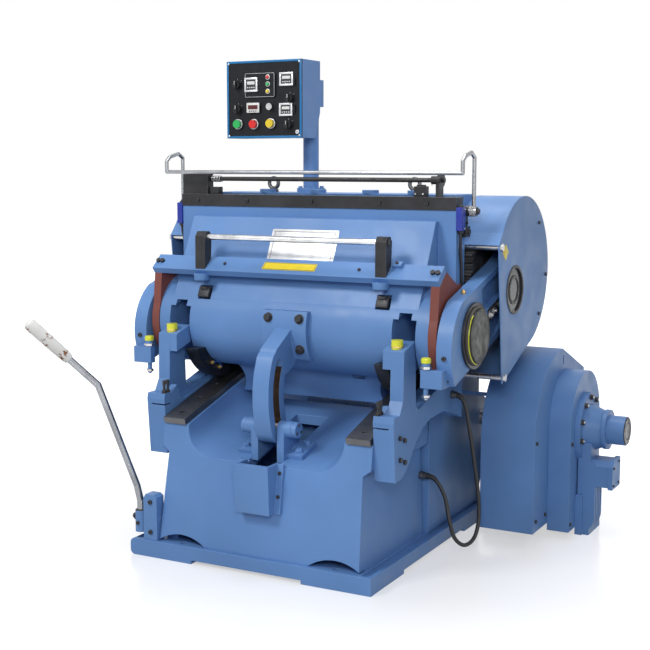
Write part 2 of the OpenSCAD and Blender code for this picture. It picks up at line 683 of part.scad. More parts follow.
// ---- crank gears and the countershaft --------------------------------------
mesh_a = norm_angle(counter_p - crank_p);
module bull_gear() color(dark_steel) translate([0, crank_y, crank_z]) difference() {
  along_x(gear_x0, gear_x1) gear(bull_module, bull_teeth, mesh_a);
  rod_x_dir(45 + fit, 0, big);
  along_x(gear_x1 - 12, big) difference() {
    circle(bull_r - 30);
    circle(70);
    translate(turn(polar(crank_r, rail_tilt + rod_angle), 0)) circle(62);
  }
}
module bull_gear_right() bull_gear();
module bull_gear_left() mirror([1, 0, 0]) bull_gear();
module countershaft() color(dark_steel) translate([0, counter_p[0], counter_p[1]]) {
  rod_x_dir(35, -gear_x1 - 4, gear_x1 + 4);
  both() along_x(gear_x0, gear_x1)
    gear(bull_module, pinion_teeth, mesh_a + 180 + 180 / pinion_teeth);
  difference() {
    along_x(frame_x0 - 148, frame_x0 - 92)
      gear(wheel_module, wheel_teeth, norm_angle(drive_p - counter_p) + 180 / wheel_teeth);
    rod_x_dir(34, frame_x0 - 160, frame_x0 - 80);
    for (i = [0:5]) translate([0, polar(205, 60 * i)[0], polar(205, 60 * i)[1]])
      rod_x_dir(75, frame_x0 - 160, frame_x0 - 80);
  }
}

// ---- carriage: trunnions, connecting rods ----------------------------------
drum_end = phw - drum_step;
drum_plate = 48;
rod_out = rod_x + rod_t;
trunnion_r = trunnion_d / 2;
module trunnions() color(bright) both() at_axis()
  rod_x_dir(trunnion_r, drum_end - drum_plate, rod_out + gap + 0.2);
module trunnion_caps() color(dark_steel) both() at_axis() difference() {
  union() {
    rod_x_dir(126, rod_out + gap + 0.2, rod_out + 11);
    rod_x_dir(102, rod_out + 11, rod_out + 26);
  }
  for (a = [60, -60]) translate([0, polar(52, a)[0], polar(52, a)[1]])
    rod_x_dir(4, rod_out + 12, rod_out + 30);
}
nose_c = [-14, -43];
nose_r = 215;
rod_top = 165;
rod_low = -110;
module rod_outline(k) {
  difference() {
    translate(nose_c) circle(nose_r - k);
    translate([-big, -big + rod_low + k]) square([2 * big, big]);
    translate([-big, rod_top - k]) square([2 * big, big]);
    translate([40, -big]) square([big, 2 * big]);
  }
  polygon([[-180, rod_low + k], [-70, rod_top - k], [350, rod_top - k], pin_uv + [-40, 84 - k],
    pin_uv, pin_uv + [-10, -89 + k], [430, -18 + k], [360, -68 + k], [250, rod_low + k]]);
  translate(pin_uv) circle(90 - k);
}
module conrod() color(enamel) {
  tilted() difference() {
    along_x(rod_x, rod_out) rod_outline(0);
    // recessed web on the outer side
    along_x(rod_out - 13, big) difference() {
      polygon([[118, rod_low + 26], [118, rod_top - 26], [350, rod_top - 26],
        pin_uv + [-95, 62], pin_uv + [-108, -20], [410, 10], [335, -44], [245, rod_low + 26]]);
    }
    rod_x_dir(trunnion_r + fit, 0, big);
  }
  tilted() {
    translate([0, pin_uv[0], pin_uv[1]]) rod_x_dir(35, gear_x1 + 1, rod_x + 1);
    translate([0, pin_uv[0], pin_uv[1]]) rod_x_dir(58, rod_out - 1, rod_out + 12);
  }
  // pad on the nose, with the oiler boss beside it
  translate([rod_x, cup_y - 14, 742]) cube([rod_t - 22, 84, 66]);
  translate([gear_x1 - 38, cup_y - 14, 742]) cube([rod_x - gear_x1 + 39, 30, 66]);
  translate([gear_x1 - 22, cup_y + 1, 701]) cylinder(h = 110, r = 9);
  translate([gear_x1 - 22, cup_y + 1, 808]) cylinder(h = 44, r = 16);
  // lock bar in the recess, behind the cap of the bearing
  tilted() translate([rod_out - 14, 132, -6]) cube([22, 172, 58]);
  tilted() for (u = [156, 200, 272]) translate([rod_out + 7, u, 23]) rotate([0, 90, 0])
    hex(22, 9);
}
module conrod_right() conrod();
module conrod_left() mirror([1, 0, 0]) conrod();

// ---- platen ----------------------------------------------------------------
rocker_in = rocker_x - rocker_w;
lug_in = cheek_in - 5;
lug_out = cheek_x + 5;
notch_z = -100;
rocker_in_r = drum_r - 20;
panel_n = [sin(panel_lean), cos(panel_lean)];
// the panel cuts a shallow chord off the drum
panel_b = (drum_r - 2) * [-cos(panel_lean), sin(panel_lean)];
panel_t = panel_b + (platen_top - 42 - panel_b[1]) / panel_n[1] * panel_n;
module lug_sweep() polygon(concat([[-450, -450], [-450, -31]],
  [for (i = [0:12]) in_platen([lug_y0 - 6, lug_z + 6], roll_max * i / 12)],
  [in_platen([lug_y1 + 4, lug_z + lug_rise + 6], roll_max),
   [in_platen([lug_y1 + 4, lug_z + lug_rise + 6], roll_max)[0] + 2, -450]]));
// the oil cup on the lug, as the rolling platen sees it
cup_top = lug_z + (cup_y - lug_y0) * st / ct + cup_h + 5;
module cup_sweep() polygon(concat([[-450, -450]],
  [for (i = [0:12]) in_platen([cup_y - cup_r - 5, cup_top], roll_max * i / 12)],
  [in_platen([cup_y + cup_r + 5, cup_top], roll_max),
   [in_platen([cup_y + cup_r + 5, cup_top], roll_max)[0] + 2, -450]]));
// the panel's outline, or with a wall k the core inside it
module wedge(k) {
  top = panel_b + (panel_t[1] - 2.2 * k - panel_b[1]) / panel_n[1] * panel_n;
  back = face_y - plate_t + 30 - k;
  polygon([panel_b + [1.1 * k, 0], top + [1.1 * k, 0], [back, top[1]], [back, k], [-60, k]]);
}
module platen() color(enamel) at_axis() difference() {
  union() {
    along_x(-drum_end, drum_end) difference() {
      circle(drum_r);
      translate([face_y, -big]) square([big, 2 * big]);
    }
    translate([-phw, face_y - plate_t, -175]) cube([platen_w, plate_t, platen_top + 175]);
    along_x(-panel_w / 2, panel_w / 2) wedge(0);
    // apron under the drum, in the middle
    difference() {
      along_x(-rocker_in + 5, rocker_in - 5)
        polygon([[0, -170], [30, -300], [face_y, -290], [face_y, -100]]);
      for (s = [-1, 1]) translate([s * (rocker_in - 4), 0, -250]) rotate([-90, 0, 0])
        translate([0, 0, -10]) cylinder(h = 200, r = 80);
    }
  }
  // cored middle
  along_x(-rocker_in + 18, rocker_in - 18) difference() {
    circle(drum_r - drum_wall);
    translate([face_y - 32, -big]) square([big, 2 * big]);
  }
  along_x(-panel_w / 2 + 26, panel_w / 2 - 26) intersection() {
    wedge(28);
    translate([-big, 112]) square([2 * big, big]);
  }
  along_x(-rocker_in + 18, rocker_in - 18) wedge(28);
  for (x = [-220, 220]) translate([x, -10, -drum_r - 20]) cylinder(h = 80, r = 34);
  // seats of the rockers and room for the guiding lugs
  both() {
    along_x(rocker_in, lug_in + 1) difference() {
      translate([-big, notch_z - big]) square([2 * big, big]);
      circle(rocker_in_r);
    }
    along_x(lug_in, lug_out) lug_sweep();
    along_x(cheek_x - 43 - cup_r - 4, cheek_x - 43 + cup_r + 4) cup_sweep();
    rod_x_dir(trunnion_r + fit, drum_end - drum_plate, big);
    // pockets for the stock hooks
    translate([lug_in - 53, panel_b[0], panel_b[1]]) rotate([-panel_lean, 0, 0])
      translate([-30, -20, 20]) cube([60, 42, 60]);
  }
}
link_p = [68, 578];
module platen_top_bar() color(dark_steel) {
  at_axis() difference() {
    translate([-phw, face_y - 90, platen_top]) cube([platen_w, 70, 49]);
    translate([-phw + 60, face_y - 60, platen_top + 30]) cube([platen_w - 120, 41, 40]);
  }
  // seats of the cross shaft
  at_axis() difference() {
    union() {
      translate([-phw, 33, platen_top + 48]) cube([120, 44, 84]);
      translate([phw - 90, 33, platen_top + 48]) cube([14, 44, 51]);
      translate([phw - 90, link_p[0], link_p[1]]) rotate([0, 90, 0]) cylinder(h = 14, r = 27);
    }
    translate([0, link_p[0], link_p[1]]) rod_x_dir(9 + fit, -big, big);
  }
}
module link_shaft() color(bright) at_axis() translate([0, link_p[0], link_p[1]]) {
  rod_x_dir(9, -phw - 18, phw - 66);
  rod_x_dir(16, phw - 120, phw - 92);
  rod_x_dir(16, -phw - 14, -phw - 2);
}
module rockers() color(bright) both() at_axis() along_x(rocker_in, rocker_x) difference() {
  circle(rocker_r - gap);
  circle(rocker_in_r + 0.1);
  translate([-big, notch_z]) square([2 * big, big]);
  polygon([[0, 0], polar(2 * big, -60), [big, big], [0, big]]);
}
bar_c = [[-182, 217], [-121, 268], [-103, 246], [-164, 195]];
// the end brackets keep clear of the bull gears
module end_brackets() color(primer) both() at_axis() difference() {
  along_x(drum_end, rod_x - 11) {
    circle(drum_r + 5);
    polygon([[-178, 60], bar_c[3], bar_c[2], [20, 180], [0, 0]]);
  }
  translate([0, 0, 0]) rod_x_dir(trunnion_r + 2, 0, big);
  translate([drum_end - 100, face_y - plate_t - 1, -big])
    cube([drum_step + 101, big, 2 * big]);
  translate([0, crank_y - axis_y, crank_z - axis_z])
    rod_x_dir(bull_r + bull_module + 6, drum_end - 1, big);
}
bar_mid = (bar_c[0] + bar_c[1]) / 2;
module crossbar() color(enamel) at_axis() {
  along_x(-rod_x + 10, rod_x - 10) polygon(bar_c);
  both() for (x = [43, 23]) translate([rod_x - x, bar_mid[0], bar_mid[1]]) rotate([40, 0, 0])
    translate([0, 0, -1]) hex(16, 9);
}
rod_p = [-151, 349];
block_x = phw - 196;
bar_d = bar_c[1] - bar_c[0];
module rod_blocks() color(dark_steel) both() at_axis() difference() {
  along_x(block_x - 45, block_x) polygon([bar_c[0] + 0.07 * bar_d, bar_c[0] + 0.82 * bar_d,
    [-126, 352], [-140, 371],
    [-162, 371], [-177, 352]]);
  translate([0, rod_p[0], rod_p[1]]) rod_x_dir(12 + fit, 0, big);
}
module register_rod() color(bright) at_axis() translate([0, rod_p[0], rod_p[1]]) {
  rod_x_dir(12, -block_x - 1, block_x + 1);
}
hold_p = [90, 462];
hold_x = phw + 8;
module safety_holders() color(dark_steel) both() at_axis() difference() {
  union() {
    translate([phw, hold_p[0] - 30, hold_p[1] - 62]) cube([8, 60, 66]);
    translate([0, hold_p[0], hold_p[1]]) rod_x_dir(20, phw, phw + 26);
    translate([phw, hold_p[0] - 22, hold_p[1] - 98]) cube([22, 44, 40]);
  }
  translate([0, hold_p[0], hold_p[1]]) rod_x_dir(8 + fit, 0, big);
}
bar_x = rod_x + 18;
module tube(p, q, r) {
  d = q - p;
  l = norm(d);
  translate(p) rotate([0, acos(d[2] / l), atan2(d[1], d[0])]) cylinder(h = l, r = r);
}
module tube_run(p, r) {
  for (i = [0:len(p) - 2]) tube(p[i], p[i + 1], r);
  for (i = [1:len(p) - 2]) translate(p[i]) sphere(r + 0.05);
}
module safety_bar() color(bright) at_axis() {
  both() {
    tube_run([[bar_x, hold_p[0], hold_p[1] + 12], [bar_x, hold_p[0], 664],
      [bar_x, hold_p[0] - 32, 682], [bar_x, -5, 668], [bar_x, -27, 650], [bar_x, -27, 606]], 8);
    translate([0, hold_p[0], hold_p[1]]) {
      rod_x_dir(8, phw + 10, phw + 28);
      rod_x_dir(18, phw + 27, bar_x + 14);
    }
    translate([bar_x, -27, 606]) sphere(8.05);
  }
  tube([-bar_x, -27, 606], [bar_x, -27, 606], 8);
}

// ---- control post and box --------------------------------------------------
post_x = -158;
post_y = 158;
box_x0 = -450;
box_x1 = box_x0 + box_w;
box_y1 = post_y - post_d / 2 - 5;
box_y0 = box_y1 - box_d;
module control_post() color(dark_steel) translate([post_x, post_y, bed_top]) {
  cylinder(h = 18, r = 60);
  cylinder(h = box_z + 250 - bed_top, d = post_d);
  for (a = [45:90:359]) rotate([0, 0, a]) translate([47, 0, 18]) hex(16, 8);
}
// side of the box, bevelled low at the back; k is the wall
module box_side(y0, k) polygon([[y0, box_z + k], [box_y1 - 0.265 * box_d - k / 2, box_z + k],
  [box_y1 - k, box_z + 0.34 * box_h], [box_y1 - k, box_z + box_h - k], [y0, box_z + box_h - k]]);
module control_box() color(enamel) difference() {
  union() {
    along_x(box_x0, box_x1) box_side(box_y0, 0);
    translate([post_x - 60, box_y1, box_z + 130]) cube([120, 38, 110]);
  }
  along_x(box_x0 + 4, box_x1 - 4) box_side(box_y0 - 1, 4);
  translate([post_x, post_y, 0]) cylinder(h = big, d = post_d + 2 * fit);
}
panel_y = box_y0 - 6;
knob_at = [[-399, 218], [-396, 118], [-148, 159], [-155, 52]];
button_at = [[-394, 58], [-317, 57], [-237, 59]];
dial_at = [-239, 127];
knob_r = 16;
module at_panel(p) translate([p[0], panel_y, box_z + p[1]]) rotate([90, 0, 0]) children();
module control_panel() color([0.1, 0.1, 0.12]) difference() {
  union() {
    translate([box_x0, panel_y, box_z]) cube([box_w, 6, box_h]);
    for (p = button_at) at_panel(p) cylinder(h = 5, r = 22);
    for (p = knob_at) at_panel(p) cylinder(h = 4, r = 20);
    at_panel(dial_at) cylinder(h = 2, r = 26);
    at_panel([-287, 215]) translate([-70, -47, 0]) cube([140, 94, 9]);
    at_panel([-319, 124]) translate([-26, -13, 0]) cube([52, 26, 7]);
    for (z = [226, 115]) at_panel([-153, z]) translate([-30, -16, 0]) cube([60, 32, 7]);
  }
  for (p = button_at) at_panel(p) translate([0, 0, -10]) cylinder(h = 40, r = 8.05);
  for (p = concat(knob_at, [dial_at])) at_panel(p) translate([0, 0, -10]) cylinder(h = 40, r = 5.05);
}
module push_button(p, c) color(c) at_panel(p) {
  translate([0, 0, 10]) cylinder(h = 11, r = 17);
  translate([0, 0, -16]) cylinder(h = 27, r = 8);
}
module green_button() push_button(button_at[0], [0.1, 0.6, 0.25]);
module red_button() push_button(button_at[1], [0.8, 0.1, 0.1]);
module yellow_button() push_button(button_at[2], [0.9, 0.8, 0.1]);
module speed_dial() color(dark_steel) at_panel(dial_at) {
  translate([0, 0, 2.3]) cylinder(h = 16, r = 14);
  translate([0, 0, -12]) cylinder(h = 15, r = 5);
}
module selector(p) color(dark_steel) at_panel(p) {
  translate([0, 0, 4.3]) cylinder(h = 12, r = knob_r);
  translate([-5, -knob_r + 1, 10]) cube([10, 2 * knob_r - 2, 16]);
  translate([0, 0, -12]) cylinder(h = 17, r = 5);
}
module selector_1() selector(knob_at[0]);
module selector_2() selector(knob_at[1]);
module selector_3() selector(knob_at[2]);
module selector_4() selector(knob_at[3]);

// ---- clutch lever ----------------------------------------------------------
lev_p = [-pw - 93, -bd + 30, 150];
block_w = 64;
module lever_bracket() color(enamel) difference() {
  along_y(-bd + 6, -bd + 54) polygon([[-pw - 2 - block_w, base_t], [-pw - 2, base_t],
    [-pw - 2, base_t + 176], [-pw - 16, base_t + 186], [-pw + 10 - block_w, base_t + 186],
    [-pw - 2 - block_w, base_t + 168]]);
  translate(lev_p) rod_x_dir(9 + fit, 0, 200);
}
module clutch_lever() color(dark_steel) {
  translate(lev_p + [0, 0, 28]) cylinder(h = 40, r = 17);
  tube_run([lev_p + [0, 0, 52], lev_p + [-20, 0, 126], lev_p + [-100, -130, 546], grip_p], 14);
}
grip_d = [-171, -200, 260] / norm([-171, -200, 260]);
grip_p = lev_p + [-100, -130, 546] + 152 * grip_d;
module lever_socket() color(enamel) translate(lev_p) {
  translate([0, 0, -58]) cylinder(h = 86, r = 25);
  rod_x_dir(9, 20, 93);
}
module lever_grip() color([0.8, 0.8, 0.8]) tube(grip_p, grip_p + 218 * grip_d, 20);

// ---- cable ----------------------------------------------------------------
gland_x = pw - 14 * (295 - base_t) / (front_top - base_t) + 0.1;
cable_d = 16;
cable_route = [[460, -13, 311], [500, -15, 300], [545, -25, 240], [575, -45, 150],
  [595, -38, 80], [620, 5, 42], [640, 60, 60], [645, 95, 130], [640, 95, 240],
  [625, 75, 400], [614, 50, 520], [606, 41, 585], [588, 41, 626], [566, 41, 640]];
cable_steps = 5;
route_end = len(cable_route) - 1;
// a smooth line through the points of the route
function via(i) = cable_route[max(0, min(route_end, i))];
function route_at(k) = let(i = min(floor(k / cable_steps), route_end - 1), t = k / cable_steps - i,
  p0 = via(i - 1), p1 = via(i), p2 = via(i + 1), p3 = via(i + 2))
  p1 + t / 2 * (p2 - p0 + t * (2 * p0 - 5 * p1 + 4 * p2 - p3 + t * (3 * p1 - p0 - 3 * p2 + p3)));
ring_end = route_end * cable_steps;
function along(k) = k == 0 ? [1, 0, 0] : k == ring_end ? [-1, 0, 0]
  : let(d = route_at(k + 1) - route_at(k - 1)) d / norm(d);
function side_of(k) = k == 0 ? [0, 1, 0]
  : let(s = side_of(k - 1), t = along(k), f = s - (s * t) * t) f / norm(f);
module swept(r, sides) polyhedron(
  points = [for (k = [0:ring_end]) let(s = side_of(k), u = cross(along(k), s))
    for (j = [0:sides - 1]) route_at(k) + r * (cos(360 * j / sides) * s
      + sin(360 * j / sides) * u)],
  faces = concat([[for (j = [0:sides - 1]) j]],
    [for (k = [0:ring_end - 1], j = [0:sides - 1])
      [k * sides + j, (k + 1) * sides + j, (k + 1) * sides + (j + 1) % sides,
       k * sides + (j + 1) % sides]],
    [[for (j = [sides - 1:-1:0]) ring_end * sides + j]]));
module power_cable() color([0.08, 0.08, 0.09]) swept(cable_d / 2, 10);
module cable_glands() color(dark_steel) {
  translate([gland_x, cable_route[0][1], cable_route[0][2]]) rotate([0, 90, 0]) {
    cylinder(h = 12, r = 16);
    translate([0, 0, 12]) hex(24, cable_route[0][0] - gland_x - 12);
  }
  translate([cheek_x, via(99)[1], via(99)[2]]) rotate([0, 90, 0]) {
    cylinder(h = 10, r = 16);
    translate([0, 0, 10]) hex(24, via(99)[0] - cheek_x - 10);
  }
}

base_plate();
pedestal();
rails();
cheek_left();
cheek_right();
cheek_screws();
cheek_oil_cups();
arm_well();
cam_pin_brackets();
cam_pin();
bed();
chase();
gear_studs();
gear_guard_left();
gear_guard_right();
guard_tie_rods();
flywheel_guard();
clutch_guard();
outboard_bracket();
motor();
control_post();
control_box();
control_panel();
lifting_eyes();
lever_bracket();
cable_glands();
power_cable();
trunnions();
trunnion_caps();
platen();
platen_top_bar();
rockers();
end_brackets();
crossbar();
rod_blocks();
register_rod();
guide_arm();
safety_holders();
safety_bar();
link_shaft();
conrod_left();
conrod_right();
bull_gear_left();
bull_gear_right();
countershaft();
drive_shaft();
flywheel();
motor_pulley();
drive_belts();
clutch_lever();
lever_socket();
lever_grip();
green_button();
red_button();
yellow_button();
speed_dial();
selector_1();
selector_2();
selector_3();
selector_4();
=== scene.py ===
"""Looks of the platen die-cutting machine: finishes, small fittings, light and camera.

Metres, in the row frame: X to the operator's right, Y to the back, Z up.
"""
import math

import bmesh
import bpy
from mathutils import Matrix, Vector


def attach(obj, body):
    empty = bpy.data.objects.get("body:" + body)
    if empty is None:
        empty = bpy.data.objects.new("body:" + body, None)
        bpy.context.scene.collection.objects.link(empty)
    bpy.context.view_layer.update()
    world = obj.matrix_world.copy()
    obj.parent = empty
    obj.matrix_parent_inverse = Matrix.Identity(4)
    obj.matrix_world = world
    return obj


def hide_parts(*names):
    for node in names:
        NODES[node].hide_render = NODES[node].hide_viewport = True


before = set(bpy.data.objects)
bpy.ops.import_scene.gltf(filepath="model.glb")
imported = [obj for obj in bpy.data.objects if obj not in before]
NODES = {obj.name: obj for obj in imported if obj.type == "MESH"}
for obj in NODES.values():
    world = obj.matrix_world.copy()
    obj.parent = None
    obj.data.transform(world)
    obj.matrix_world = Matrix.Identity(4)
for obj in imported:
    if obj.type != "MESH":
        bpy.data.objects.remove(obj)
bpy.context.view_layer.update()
MM = 0.001

# places and sizes of the solids that carry the fittings, in mm and degrees
SIDES = (("left", -1), ("right", 1))
UP, FRONT, RIGHT = (0, 0, 1), (0, -1, 0), (1, 0, 0)
AXIS_Y, AXIS_Z = -150, 910            # platen axis at rest
RAIL_TILT = math.radians(16)
ROCKER_R = 240
STROKE = 212.46565
FRONT_LEAN = math.radians(25.5)       # leaning front panel of the platen
FRONT_FOOT = 183                      # from the platen axis to that panel's foot
PIN_U, PIN_V = 553.843, 103.299       # crank pin at rest, along and across the rails
CAM_Y, CAM_Z = -450, 545              # fixed pin of the guide arm
DRIVE_Y, DRIVE_Z = 600, 440
GEAR_GUARD_X = 754.9                  # outer face of the gear guards
FLYWHEEL_GUARD_X, CLUTCH_GUARD_X = 832.9, 924.9
WINDOW_Y, WINDOW_Z = 160, 1058        # inspection windows of the gear guards
OILER_Y = -387
NOSE_U, NOSE_V, NOSE_R = -14, -43, 214.6   # rounded nose of a connecting rod
ROD_MID_X, ROD_FACE_X = 676, 716.9
BAR_Y, BAR_Z = -301.5, 1152.5         # middle of the crossbar's front face
SWITCH_Y = -95
SAFETY_Y, SAFETY_Z = -60, 1372        # pivot of the safety bar

# ---- camera, fitted to the photograph ------------------------------------------
FRAME_PX, FOCAL_PX, SENSOR_MM = 650, 1230, 36
CAMERA_PLACE = (2.3655, -4.4462, 1.5523)
CAMERA_DOWN, CAMERA_TURN = 7.495, 28.084
FAR_CLIP = 60

scene = bpy.context.scene
cam_data = bpy.data.cameras.new("camera")
camera = bpy.data.objects.new("camera", cam_data)
scene.collection.objects.link(camera)
scene.camera = camera
cam_data.sensor_width = SENSOR_MM
cam_data.lens = SENSOR_MM * FOCAL_PX / FRAME_PX
camera.location = CAMERA_PLACE
camera.rotation_euler = (math.radians(90 - CAMERA_DOWN), 0, math.radians(CAMERA_TURN))
cam_data.clip_end = FAR_CLIP


def polar(r, degrees):
    """The two coordinates of a place r away from the centre."""
    a = math.radians(degrees)
    return r * math.cos(a), r * math.sin(a)


def shaded(color, share, lift=0.0):
    """A darker or paler form of a colour."""
    return tuple(min(1, c * share + lift) for c in color)


# ---- materials ---------------------------------------------------------------
BEVEL_SAMPLES = 6


class Shader:
    """A small helper that builds a node tree around one Principled shader."""

    def __init__(self, name, color, roughness, metallic=0.0):
        self.mat = bpy.data.materials.new(name)
        self.mat.use_nodes = True
        self.tree = self.mat.node_tree
        self.bsdf = self.tree.nodes["Principled BSDF"]
        self.bsdf.inputs["Base Color"].default_value = (*color, 1)
        self.bsdf.inputs["Roughness"].default_value = roughness
        self.bsdf.inputs["Metallic"].default_value = metallic
        self.where = self.add("ShaderNodeTexCoord").outputs["Object"]

    def add(self, kind, **values):
        """Adds a node, and sets its sockets and properties by name."""
        node = self.tree.nodes.new(kind)
        for key, value in values.items():
            if key in node.inputs:
                node.inputs[key].default_value = value
            else:
                setattr(node, key, value)
        return node

    def link(self, out, into):
        self.tree.links.new(out, into)
        return into

    def noise(self, scale, detail=4.0, rough=0.5, stretch=None):
        node = self.add("ShaderNodeTexNoise", Scale=scale, Detail=detail, Roughness=rough)
        source = self.where
        if stretch:
            mapping = self.add("ShaderNodeMapping")
            mapping.inputs["Scale"].default_value = stretch
            self.link(source, mapping.inputs["Vector"])
            source = mapping.outputs["Vector"]
        self.link(source, node.inputs["Vector"])
        return node.outputs["Fac"]

    def ramp(self, fac, low, high, low_at=0.35, high_at=0.65):
        """Turns a factor into a value that goes from low to high between two stops."""
        node = self.add("ShaderNodeValToRGB")
        ends = node.color_ramp.elements
        ends[0].position, ends[1].position = low_at, high_at
        ends[0].color, ends[1].color = (low, low, low, 1), (high, high, high, 1)
        self.link(fac, node.inputs["Fac"])
        return node.outputs["Color"]

    def mix(self, fac, a, b):
        """Mixes two colours or outputs by a factor."""
        node = self.add("ShaderNodeMix", data_type="RGBA")
        for value, key in ((fac, 0), (a, 6), (b, 7)):
            if hasattr(value, "links"):
                self.link(value, node.inputs[key])
            elif key:
                node.inputs[key].default_value = (*value, 1)
            else:
                node.inputs[key].default_value = value
        return node.outputs[2]

    def base(self, out):
        self.link(out, self.bsdf.inputs["Base Color"])

    def rough(self, out):
        self.link(out, self.bsdf.inputs["Roughness"])

    def relief(self, heights, edge=0.0):
        """Bumps one above the other, over edges that are rounded in the shading."""
        normal = None
        if edge:
            bevel = self.add("ShaderNodeBevel", Radius=edge, samples=BEVEL_SAMPLES)
            normal = bevel.outputs["Normal"]
        for height, distance, strength in heights:
            bump = self.add("ShaderNodeBump", Strength=strength, Distance=distance)
            self.link(height, bump.inputs["Height"])
            if normal is not None:
                self.link(normal, bump.inputs["Normal"])
            normal = bump.outputs["Normal"]
        if normal is not None:
            self.link(normal, self.bsdf.inputs["Normal"])

    def edges(self, radius=0.004):
        """1 on worn convex edges, 0 elsewhere."""
        bevel = self.add("ShaderNodeBevel", Radius=radius, samples=BEVEL_SAMPLES)
        geometry = self.add("ShaderNodeNewGeometry")
        dot = self.add("ShaderNodeVectorMath", operation="DOT_PRODUCT")
        self.link(bevel.outputs["Normal"], dot.inputs[0])
        self.link(geometry.outputs["Normal"], dot.inputs[1])
        return self.ramp(dot.outputs["Value"], 1.0, 0.0, 0.82, 0.96)


def enamel(name, color, roughness=0.46):
    """Satin machine enamel, paler where its edges are rubbed."""
    s = Shader(name, color, roughness)
    tone = s.mix(s.ramp(s.noise(2.2, 3), 0.0, 1.0, 0.3, 0.7),
                 shaded(color, 0.86), shaded(color, 1.10))
    s.base(s.mix(s.edges(0.003), tone, shaded(color, 1.25, 0.03)))
    s.rough(s.ramp(s.noise(9, 4), roughness - 0.06, roughness + 0.10))
    s.relief([(s.noise(28, 3), 0.0012, 0.20), (s.noise(420, 2), 0.0002, 0.22)], edge=0.003)
    s.bsdf.inputs["Specular IOR Level"].default_value = 0.32
    s.bsdf.inputs["Coat Weight"].default_value = 0.06
    s.bsdf.inputs["Coat Roughness"].default_value = 0.25
    return s.mat


def machined(name, color, roughness=0.3, stretch=(1, 60, 60)):
    """Turned or ground metal, with a grain along its stretch."""
    s = Shader(name, color, roughness, 1.0)
    grain = s.noise(9, 3, 0.6, stretch)
    s.base(s.mix(s.ramp(s.noise(14, 4), 0.0, 1.0), shaded(color, 0.75), color))
    s.rough(s.ramp(grain, roughness - 0.08, roughness + 0.16))
    s.relief([(grain, 0.0004, 0.18)], edge=0.0015)
    return s.mat


def iron(name, color, roughness=0.5):
    """Cast or cut iron with oily patches."""
    s = Shader(name, color, roughness, 0.55)
    s.base(s.mix(s.ramp(s.noise(18, 5), 0.0, 1.0), shaded(color, 0.55),
                 shaded(color, 1.4)))
    s.rough(s.ramp(s.noise(30, 3), roughness - 0.14, roughness + 0.14))
    s.relief([(s.noise(160, 4), 0.0006, 0.35)], edge=0.002)
    return s.mat


def black_paint(name, color=(0.018, 0.018, 0.020), roughness=0.38):
    """Black paint, worn to grey on its edges."""
    s = Shader(name, color, roughness)
    s.base(s.mix(s.edges(0.0025), s.mix(s.ramp(s.noise(12, 4), 0.0, 1.0), color,
                                        shaded(color, 1.9)), (0.12, 0.12, 0.125)))
    s.rough(s.ramp(s.noise(40, 3), roughness - 0.08, roughness + 0.12))
    s.relief([(s.noise(300, 3), 0.0003, 0.25)], edge=0.002)
    s.bsdf.inputs["Specular IOR Level"].default_value = 0.3
    return s.mat


def plastic(name, color, roughness=0.3, gloss=0.5):
    """Moulded plastic or gloss paint."""
    s = Shader(name, color, roughness)
    s.base(s.mix(s.ramp(s.noise(25, 3), 0.0, 1.0), shaded(color, 0.9), color))
    s.rough(s.ramp(s.noise(60, 2), roughness - 0.05, roughness + 0.08))
    s.relief([(s.noise(500, 2), 0.0001, 0.2)], edge=0.001)
    s.bsdf.inputs["Specular IOR Level"].default_value = gloss
    return s.mat


def rubber(name, color=(0.012, 0.012, 0.013)):
    """Matt rubber or felt."""
    s = Shader(name, color, 0.55)
    s.base(s.mix(s.noise(30), color, shaded(color, 1.8)))
    s.relief([(s.noise(500, 2), 0.0002, 0.3)])
    return s.mat


def worn_white(name):
    """White paint, rubbed through to brown rust in patches."""
    s = Shader(name, (0.80, 0.79, 0.75), 0.5)
    patch = s.ramp(s.noise(34, 6, 0.65), 0.0, 1.0, 0.58, 0.63)
    rust = s.mix(s.noise(90, 3), (0.16, 0.055, 0.022), (0.30, 0.13, 0.06))
    s.base(s.mix(patch, s.mix(s.noise(8, 3), (0.70, 0.69, 0.65), (0.84, 0.83, 0.80)), rust))
    s.rough(s.ramp(s.noise(34, 6, 0.65), 0.42, 0.8, 0.58, 0.63))
    s.relief([(s.noise(34, 6, 0.65), 0.0006, 0.5), (s.noise(300, 3), 0.0002, 0.3)])
    return s.mat


